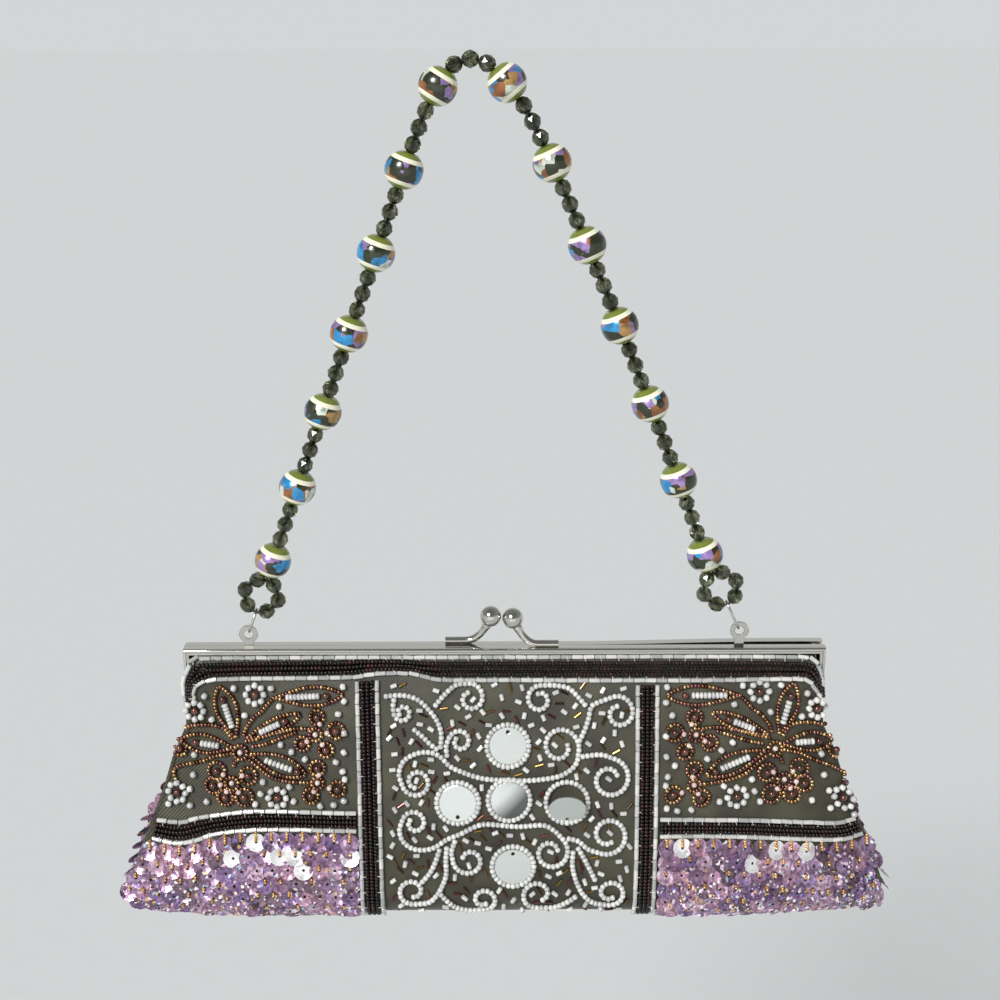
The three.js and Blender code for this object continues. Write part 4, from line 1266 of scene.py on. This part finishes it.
class CLUTCH_OT_frame(bpy.types.Operator):
    """Bends the two halves of the frame, with the clasp, the strap eyes and the hinge rivets"""

    bl_idname = "clutch.frame"
    bl_label = "Frame"

    def execute(self, context):
        nickel = ("plated_nickel",)
        front = [channel(FRAME["leg"]), inner_wall(), *clasp("front")]
        front += [ear(side, HINGE["plate"], HINGE["plate_top"]) for side in (-1, 1)]
        front += [strap_eye(*place) for place in EYES.values()]
        back = [channel(HINGE["joggle_drop"]), inner_wall(), *clasp("back")]
        back += [ear(side, HINGE["tongue"], HINGE["tongue_top"]) for side in (-1, 1)]
        make_piece("frame_front_nickel", moved(merged(front), BAG), nickel, ("frame_front",),
                   crease=32)
        # The back half is the same shape turned half round, with its right end sprung open
        points, *faces = merged(back)
        points = points * (-1, -1, 1)
        points[:, 1] += bow(points[:, 0], -points[:, 2])
        make_piece("frame_back_nickel", (points + BAG, *faces), nickel, ("frame_back",), crease=32)
        inner, outer, dome = RIVET["inner"], RIVET["outer"], RIVET["dome"]
        head, shank = RIVET["head"], RIVET["shank"]
        profile = ((0, inner - dome), (head * 0.6, inner - dome * 0.8), (head, inner - dome * 0.2),
                   (head, inner), (shank, inner), (shank, outer), (head, outer), (head, outer + dome * 0.2),
                   (head * 0.6, outer + dome * 0.8), (0, outer + dome))
        pin = lathe(profile, 20)
        for name, side in (("left", -1), ("right", 1)):
            rivet = turned_to(pin, (0, side, 0), (0, 0, 1), (side, 0, 0), BAG - (0, 0, HINGE["drop"]))
            make_piece(f"hinge_rivet_{name}", rivet, nickel, (f"hinge_pin_{name}",), crease=40)
        return {"FINISHED"}


class CLUTCH_OT_mirrors(bpy.types.Operator):
    """Cuts the five silvered discs of the middle panel, each round its sewing hole"""

    bl_idname = "clutch.mirrors"
    bl_label = "Mirrors"

    def execute(self, context):
        radius, thick = MIRROR["radius"], MIRROR["thickness"]
        ray = circle(1.0, 64)
        # Share of the way from the hole to the rim, and height
        rings = ((0.0, 0.05), (1.0, 0.05), (1.0, thick - 0.15), (0.97, thick), (0.03, thick),
                 (0.0, thick - 0.1))
        # Share of the radius and height, for the disc without a hole, which has a slight dome
        dome = ((0, 0.05), (1, 0.05), (1, thick - 0.15), (0.97, thick), (0.7, thick + 0.25),
                (0.35, thick + 0.4), (0, thick + 0.45))
        for name, (across, drop, clock, tilt) in MIRRORS.items():
            if clock is None:
                # The middle disc takes the silver with the strong painted dark reflection
                finish, disc = "worn_silver", lathe(np.array(dome) * (radius, 1), 64)
            else:
                inner = MIRROR["hole_at"] * heading(np.radians(clock)) + ray * MIRROR["hole"]
                spoke = ray * radius - inner
                points = stacked([(inner + spoke * share, height) for share, height in rings])
                finish, disc = "silvered_acrylic", net(points, round_rows=True, round_columns=True)
            self.lay_disc(name, disc, finish, across, drop, np.radians(tilt))
        return {"FINISHED"}

    def lay_disc(self, name, disc, finish, across, drop, tilt):
        """Turns a disc forward about its foot, lays it on the cloth and makes it a piece."""
        foot = np.array((0, -MIRROR["radius"], 0))
        tipped = (1, 0, 0), (0, np.cos(tilt), np.sin(tilt)), (0, -np.sin(tilt), np.cos(tilt))
        disc = turned_to(moved(disc, -foot), *tipped, foot)
        centre, outward, _ = on_cloth(girth_of([(across, drop)]), MIRROR["stand"])
        out = outward[0]
        right = unit(np.cross((0, 0, 1), out))
        surface = turned_to(disc, right, np.cross(out, right), out, centre[0] + BAG)
        make_piece(f"mirror_disc_{name}", surface, (finish,), (f"mirror_{name}",),
                   crease=10)


class CLUTCH_OT_strap(bpy.types.Operator):
    """Strings the strap: faceted small beads on a thread with its end loops, large beads and jump rings"""

    bl_idname = "clutch.strap"
    bl_label = "Strap"

    def execute(self, context):
        rng = np.random.default_rng(SEEDS["strap"])
        for side in STRANDS:
            beads = strand_beads(side)
            self.small_beads(side, beads, rng)
            self.large_beads(side, beads)
            self.jump_ring(side)
        return {"FINISHED"}

    def small_beads(self, side, beads, rng):
        """The small beads of a strand and its loop, and the thread that runs through all of them."""
        spacing = (360 - 2 * LOOP["gap"]) / (LOOP["beads"] - 1)
        angles = np.radians(LOOP["gap"] + spacing * np.arange(LOOP["beads"]))
        loop_centre, loop_axis = on_loop(side, angles, LOOP["radius"])
        _, centre, axis = zip(*(bead for bead in beads if bead[0] == "small"))
        centre = np.concatenate((centre, loop_centre))
        axis = np.concatenate((axis, loop_axis))
        turn = rng.uniform(0, 2 * np.pi, (len(axis), 1))
        level = np.cross(axis, (0, 1, 0))
        outward = level * np.cos(turn) + np.array((0, 1, 0)) * np.sin(turn)
        surface = copies(facets(SMALL_FACETS, SMALL["sides"]), centre, axis, outward)
        # Each facet takes a random shade, painted light and shade for facets that catch more or less of the
        # room
        shades = [f"fire_polished_{shade}" for shade in SMALL_SHADES]
        zones = rng.choice(len(shades), len(surface[1]) + len(surface[2]), p=tuple(SMALL_SHADES.values()))
        make_piece(f"strap_beads_{side}", surface, shades, (f"strap_strand_{side}",),
                   flat=True, zones=zones)
        path = [bead[1] for bead in beads]
        if side == "right":
            path = [np.array((SMALL["length"] / 2, 0, SMALL["radius"]))] + path
        top, _ = on_loop(side, np.pi, LOOP["radius"])
        route = even(curve(np.array(path + [top[0]])), 1.5, ends=True)
        turn = np.linspace(0, 2 * np.pi, 60, endpoint=False)
        foot = (LOOP["foot"] - LOOP["radius"]) * np.exp(-((np.minimum(turn, 2 * np.pi - turn) / 0.3) ** 2))
        ring, _ = on_loop(side, turn, LOOP["radius"] + foot)
        thread = merged([tube(route, THREAD, 8, (0, 1, 0)), tube(ring, THREAD, 8, (0, 1, 0), endless=True)])
        make_piece(f"strap_thread_{side}", thread, ("waxed_thread",))

    def large_beads(self, side, beads):
        """The large beads, turned from one section and painted by the height along the axis."""
        shape = lathe(large_profile(), 40)
        middle = [shape[0][faces].mean(axis=1)[:, 2] for faces in shape[1:]]
        height = np.abs(np.concatenate(middle))
        zones = np.where(height < BAND_END, 0, np.where(height < RING_END, 1, 2))
        finishes = ("shell_inlay", "ivory_resin", "olive_resin")
        large = [bead for bead in beads if bead[0] == "large"]
        for k, (_, centre, axis) in enumerate(large, 1):
            surface = copies(shape, centre[None], axis[None], np.array(((0, -1, 0),)))
            make_piece(f"inlaid_bead_{side}_{k}", surface, finishes, (f"bead_{side}_{k}",),
                       crease=50, zones=zones)

    def jump_ring(self, side):
        """An oval of wire through the strap eye and round the foot of the bead loop."""
        eye, down, loop = strand_end(side)
        wire, play = JUMP_RING["wire"], JUMP_RING["play"]
        low = eye - down * (EYE["hole"] - wire - play)
        high = loop + down * (LOOP["foot"] - JUMP_RING["thread"] - wire - play)
        long = (low - high) / 2
        level = unit(np.cross((0, 1, 0), long))
        wide = unit(np.cross(level, long)) * JUMP_RING["half_width"]
        turn = np.linspace(0, 2 * np.pi, 48, endpoint=False)[:, None]
        path = (low + high) / 2 + long * np.cos(turn) + wide * np.sin(turn)
        make_piece(f"jump_ring_wire_{side}", tube(path, wire, 10, level, endless=True), ("plated_nickel",),
                   (f"jump_ring_{side}",))


class CLUTCH_OT_borders(bpy.types.Operator):
    """Lays the borders: three rows of dark seed beads between two rows of couched white bugles"""

    bl_idname = "clutch.borders"
    bl_label = "Borders"

    def execute(self, context):
        rng = np.random.default_rng(SEEDS["borders"])
        size = in_mm(context.scene.clutch_sizes)
        seed, pitch, bugle = size["seed_width"], size["seed_pitch"], size["bugle_width"]
        white, dark, ticks = [], [], []
        for rows in BORDERS.values():
            # Both rows at equal shares of their length, so lines between them can be laid off
            share = np.linspace(0, 1, 400)
            first, second = (
                np.stack([np.interp(share, np.linspace(0, 1, len(row)), column) for column in row.T], axis=1)
                for row in (even(girth_of(curve(row)), 0.5, ends=True) for row in rows))
            for row, other in ((first, second), (second, first)):
                white.append(strung(even(row, size["bugle_pitch"]), bugle * STANDS["bugle"]))
                ticks.append(self.couched(row, other, bugle))
            for part in DARK_ROWS:
                dark.append(strung(even(first + (second - first) * part, pitch), seed * STANDS["seed"]))
        bead_piece("border_bugles", bugle_bead(bugle, size["bugle_pitch"] * BUGLE_FIT), white, "bugle_glass",
                   rng, crease=40)
        bead_piece("border_dark_beads", seed_bead(seed, pitch), dark, "wine_glass", rng)
        bead_piece("couching_stitches", bugle_bead(STITCH["width"], STITCH["out"] + STITCH["in"]), ticks,
                   "cotton_thread", rng)
        return {"FINISHED"}

    def couched(self, row, other, bugle):
        """Stitches across a row of bugles, from just outside it into the dark band, above the beads."""
        count = int(np.linalg.norm(np.diff(row, axis=0), axis=1).sum() / STITCH["spacing"])
        picked = ((np.arange(count) + 0.5) * len(row) / count).astype(int)
        inwards = unit(other[picked] - row[picked])
        start, outward, _ = on_cloth(row[picked] - inwards * STITCH["out"], bugle)
        end, _, _ = on_cloth(row[picked] + inwards * STITCH["in"], bugle)
        return (start + end) / 2, end - start, outward


class CLUTCH_OT_scrolls(bpy.types.Operator):
    """Lays the scrolls of the middle panel, the rings round the mirrors and the bugles strewn between"""

    bl_idname = "clutch.scrolls"
    bl_label = "Scrolls"

    def execute(self, context):
        rng = np.random.default_rng(SEEDS["scrolls"])
        size = in_mm(context.scene.clutch_sizes)
        width, pitch = size["white_width"], size["white_pitch"]
        lines = [even(line, pitch) for line in scroll_lines()]
        middles = girth_of([row[:2] for row in MIRRORS.values()])
        beads = int(round(2 * np.pi * MIRROR_RING / pitch))
        rings = [middle + circle(MIRROR_RING, beads) for middle in middles]
        strings = [strung(line, width * STANDS["scroll"]) for line in lines + rings]
        bead_piece("scroll_beads", seed_bead(width, pitch), strings, "pearl_glass", rng)
        discs = [middle + circle(radius, 24) for middle in middles for radius in MIRROR_ROOM]
        taken = np.concatenate(lines + rings + discs)
        for name, finish in (("white", "pearl_glass"), ("bronze", "dark_bronze_glass")):
            count, length, thick, clear, apart = STREWN[name]
            places = scatter(rng, STREWN_FIELD, count, apart, taken, clear)
            taken = np.concatenate((taken, places))
            bead_piece(f"strewn_{name}_bugles", bugle_bead(thick, length),
                       [strewn(rng, places, thick * STANDS["bugle"])], finish, rng, crease=40)
        return {"FINISHED"}


class CLUTCH_OT_flowers(bpy.types.Operator):
    """Lays the flower of each side panel, its florets, the ring flowers and the white dots round it"""

    bl_idname = "clutch.flowers"
    bl_label = "Flowers"

    def execute(self, context):
        rng = np.random.default_rng(SEEDS["flowers"])
        size = in_mm(context.scene.clutch_sizes)
        dot, pitch = size["white_width"] * DOT["width"], size["white_pitch"] * DOT["pitch"]
        seed, step = size["seed_width"] * BRONZE["width"], size["seed_pitch"] * BRONZE["width"]
        bronze, white, pearls, rings = flower_lines()
        for side in FLOWER_HEARTS:
            flower = f"flower_{side}"
            lines = [strung(even(flower_on(side, line), step), seed * STANDS["seed"]) for line in bronze]
            bead_piece(f"{flower}_bronze", seed_bead(seed, step * BRONZE["length"]), lines,
                       "bronze_glass", rng)
            rows = [strung(even(flower_on(side, line), pitch), dot * STANDS["seed"]) for line in white]
            bead_piece(f"{flower}_white", seed_bead(dot, pitch), rows, "pearl_glass", rng)
            loose = np.concatenate([flower_on(side, places) for places in (*rings, DOTS)])
            loose = [strewn(rng, loose, dot * STANDS["dot"])]
            bead_piece(f"{flower}_dots", seed_bead(dot, dot * DOT["length"]), loose, "pearl_glass", rng)
            for kind, places in (("pearls", pearls), ("blush", BLUSH)):
                radius, sides, stand, finish = ROUND_BEADS[kind]
                loose = [strewn(rng, flower_on(side, places), stand)]
                bead_piece(f"{flower}_{kind}", ball(radius, 7, sides), loose, finish, rng)
        return {"FINISHED"}


class CLUTCH_OT_sequins(bpy.types.Operator):
    """Sews the sequins in overlapping rows below the shelves, round the gussets and over the back"""

    bl_idname = "clutch.sequins"
    bl_label = "Sequins"

    def execute(self, context):
        rng = np.random.default_rng(SEEDS["sequins"])
        size = in_mm(context.scene.clutch_sizes)
        half, pitch, row = size["sequin_width"] / 2, size["sequin_pitch"], size["sequin_row"]
        regions = {side: self.front_places(f"{side} shelf", pitch, row) for side in ("left", "right")}
        regions["back"] = self.back_places(pitch, row)
        # Radius and height: a flat middle round the hole and a rim that cups up
        profile = ((0.55, -0.06), (half, 0.46), (half, 0.56), (half * 0.5, 0.12), (0.55, 0.06))
        sequin = lathe(profile, 12, closed=True)
        width, length, stand = SEQUIN_BEAD["width"], SEQUIN_BEAD["length"], SEQUIN_BEAD["stand"]
        gold = []
        for name, (places, first, flare, flash) in regions.items():
            centre, up, face = self.tilted(rng, places, flare, name == "back")
            # Sequins on the chart of flashes get the top tone, painted white for a flash of light
            tone = np.where(flash, 1.0, rng.uniform(0, FLASH_TONE, len(centre)))
            tone = np.repeat(tone, len(sequin[0]))
            surface = copies(sequin, centre + BAG, face, up)
            make_piece(f"sequins_{name}", surface, ("hologram_film",), flat=True, tone=tone)
            # Stitch beads from the hole upwards: all on the first row, and what the row above leaves to see
            seen = rng.uniform(0, 1, len(first)) < SEQUIN_BEAD["share"]
            for k in range(SEQUIN_BEAD["count"]):
                rise = centre + up * (SEQUIN_BEAD["start"] + length * k) + face * stand
                shown = first | (seen & (k < SEQUIN_BEAD["seen"]))
                gold.append(tuple(part[shown] for part in (rise, up, face)))
        bead_piece("sequin_stitch_beads", seed_bead(width, length), gold, "amber_glass", rng)
        return {"FINISHED"}

    def front_places(self, shelf, pitch, row):
        """Rows below a shelf, from beside the upright border out to the middle of the gusset: each row keeps
        its distance below the shelf's lower line, and on the gusset the rows start higher."""
        lower = girth_of(curve(BORDERS[shelf][1]))
        side = np.sign(lower[0, 0])
        order = np.argsort(np.abs(lower[:, 0]))
        start = np.abs(lower[order, 0])
        level = lower[order, 1]
        inset, margin = start[0] + SEQUIN_ROWS["inset"], SEQUIN_ROWS["margin"]
        gusset = girth_of([(0, SEQUIN_ROWS["gusset_drop"])])[0, 1]
        places, first, flare, flash = [], [], [], []
        for k in range(-SEQUIN_ROWS["above"], SEQUIN_ROWS["count"]):
            reach = inset + np.arange(0, SEQUIN_ROWS["span"], pitch) - (k % 2) * pitch / 2
            reach[0] = inset
            girth = np.interp(reach, start, level) + SEQUIN_ROWS["under_shelf"] + k * row
            table = smooth(girth, GIRTHS, CLOTH_ROWS)
            seam, edge = table[:, 1] - margin, np.abs(table[:, 3])
            on_face = (reach < seam) & (k >= 0)
            on_side = (reach >= seam) & (reach < seam + edge) & (girth > gusset)
            kept = (on_face | on_side) & (girth < BASE_GIRTH - margin)
            places.append(np.stack((side * reach, girth), axis=1)[kept])
            first.append(np.full(kept.sum(), k == 0) & on_face[kept])
            flare.append(on_side[kept])
            flash.append(np.array([(k, j) in FLASHES[shelf] for j in range(len(reach))])[kept])
        return tuple(np.concatenate(rows) for rows in (places, first, flare, flash))

    def back_places(self, pitch, row):
        """Rows across the whole back and the back halves of the gussets, down to the middle of the base."""
        margin = SEQUIN_ROWS["margin"]
        total = GIRTHS[0] + GIRTHS[-1]
        top = girth_of([(0, SEQUIN_ROWS["back_drop"])])[0, 1]
        places, first = [], []
        for k in range(SEQUIN_ROWS["count"]):
            girth = top + k * row
            table = smooth(np.array([girth]), GIRTHS, CLOTH_ROWS)[0]
            reach = table[1] + abs(table[3]) - 2 * margin
            across = np.arange(-reach + (k % 2) * pitch / 2, reach, pitch)
            if girth < BASE_GIRTH - margin:
                places.append(np.stack((across, np.full(len(across), total - girth)), axis=1))
                first.append(np.full(len(across), k == 0))
        places = np.concatenate(places)
        none = np.zeros(len(places), bool)
        return places, np.concatenate(first), none, none

    def tilted(self, rng, places, flare, back):
        """Centres of sequins, the way up on each and the way it faces: the lower edge lifts off the cloth,
        one side edge lies over its neighbour, each is a little off, and those on a gusset flare."""
        centre, outward, down = on_cloth(places, SEQUIN_ROWS["stand"])
        up = down if back else -down
        aside = np.cross(up, outward)
        off = rng.normal(0, SEQUIN_TILT["off"], (2, len(flare)))
        lift = SEQUIN_TILT["lift"] + SEQUIN_TILT["flare"] * flare + off[0]
        lean = SEQUIN_TILT["lean"] + off[1]
        lift, lean = np.tan(np.radians((lift, lean)))[:, :, None]
        face = unit(outward + up * lift + aside * lean)
        up = unit(up - face * np.sum(up * face, axis=1, keepdims=True))
        return centre, up, face


STEPS = (
    CLUTCH_OT_stage,
    CLUTCH_OT_pouch,
    CLUTCH_OT_frame,
    CLUTCH_OT_mirrors,
    CLUTCH_OT_strap,
    CLUTCH_OT_borders,
    CLUTCH_OT_scrolls,
    CLUTCH_OT_flowers,
    CLUTCH_OT_sequins,
)


class CLUTCH_PT_panel(bpy.types.Panel):
    """Steps, sizes and colours of the clutch"""

    bl_idname = "CLUTCH_PT_panel"
    bl_label = "Beaded clutch"
    bl_space_type = "VIEW_3D"
    bl_region_type = "UI"
    bl_category = "Clutch"

    def draw(self, context):
        layout = self.layout
        for group in (context.scene.clutch_sizes, context.scene.clutch_colours):
            for name in group.__annotations__:
                layout.prop(group, name)
        for step in STEPS:
            layout.operator(step.bl_idname)


CLASSES = (ClutchSizes, ClutchColours, *STEPS, CLUTCH_PT_panel)


def register():
    for each in CLASSES:
        bpy.utils.register_class(each)
    bpy.types.Scene.clutch_sizes = bpy.props.PointerProperty(type=ClutchSizes)
    bpy.types.Scene.clutch_colours = bpy.props.PointerProperty(type=ClutchColours)


def unregister():
    del bpy.types.Scene.clutch_colours
    del bpy.types.Scene.clutch_sizes
    for each in reversed(CLASSES):
        bpy.utils.unregister_class(each)


def main():
    register()
    bpy.ops.clutch.stage()
    bpy.ops.clutch.pouch()
    bpy.ops.clutch.frame()
    bpy.ops.clutch.mirrors()
    bpy.ops.clutch.strap()
    bpy.ops.clutch.borders()
    bpy.ops.clutch.scrolls()
    bpy.ops.clutch.flowers()
    bpy.ops.clutch.sequins()


if __name__ == "__main__":
    main()
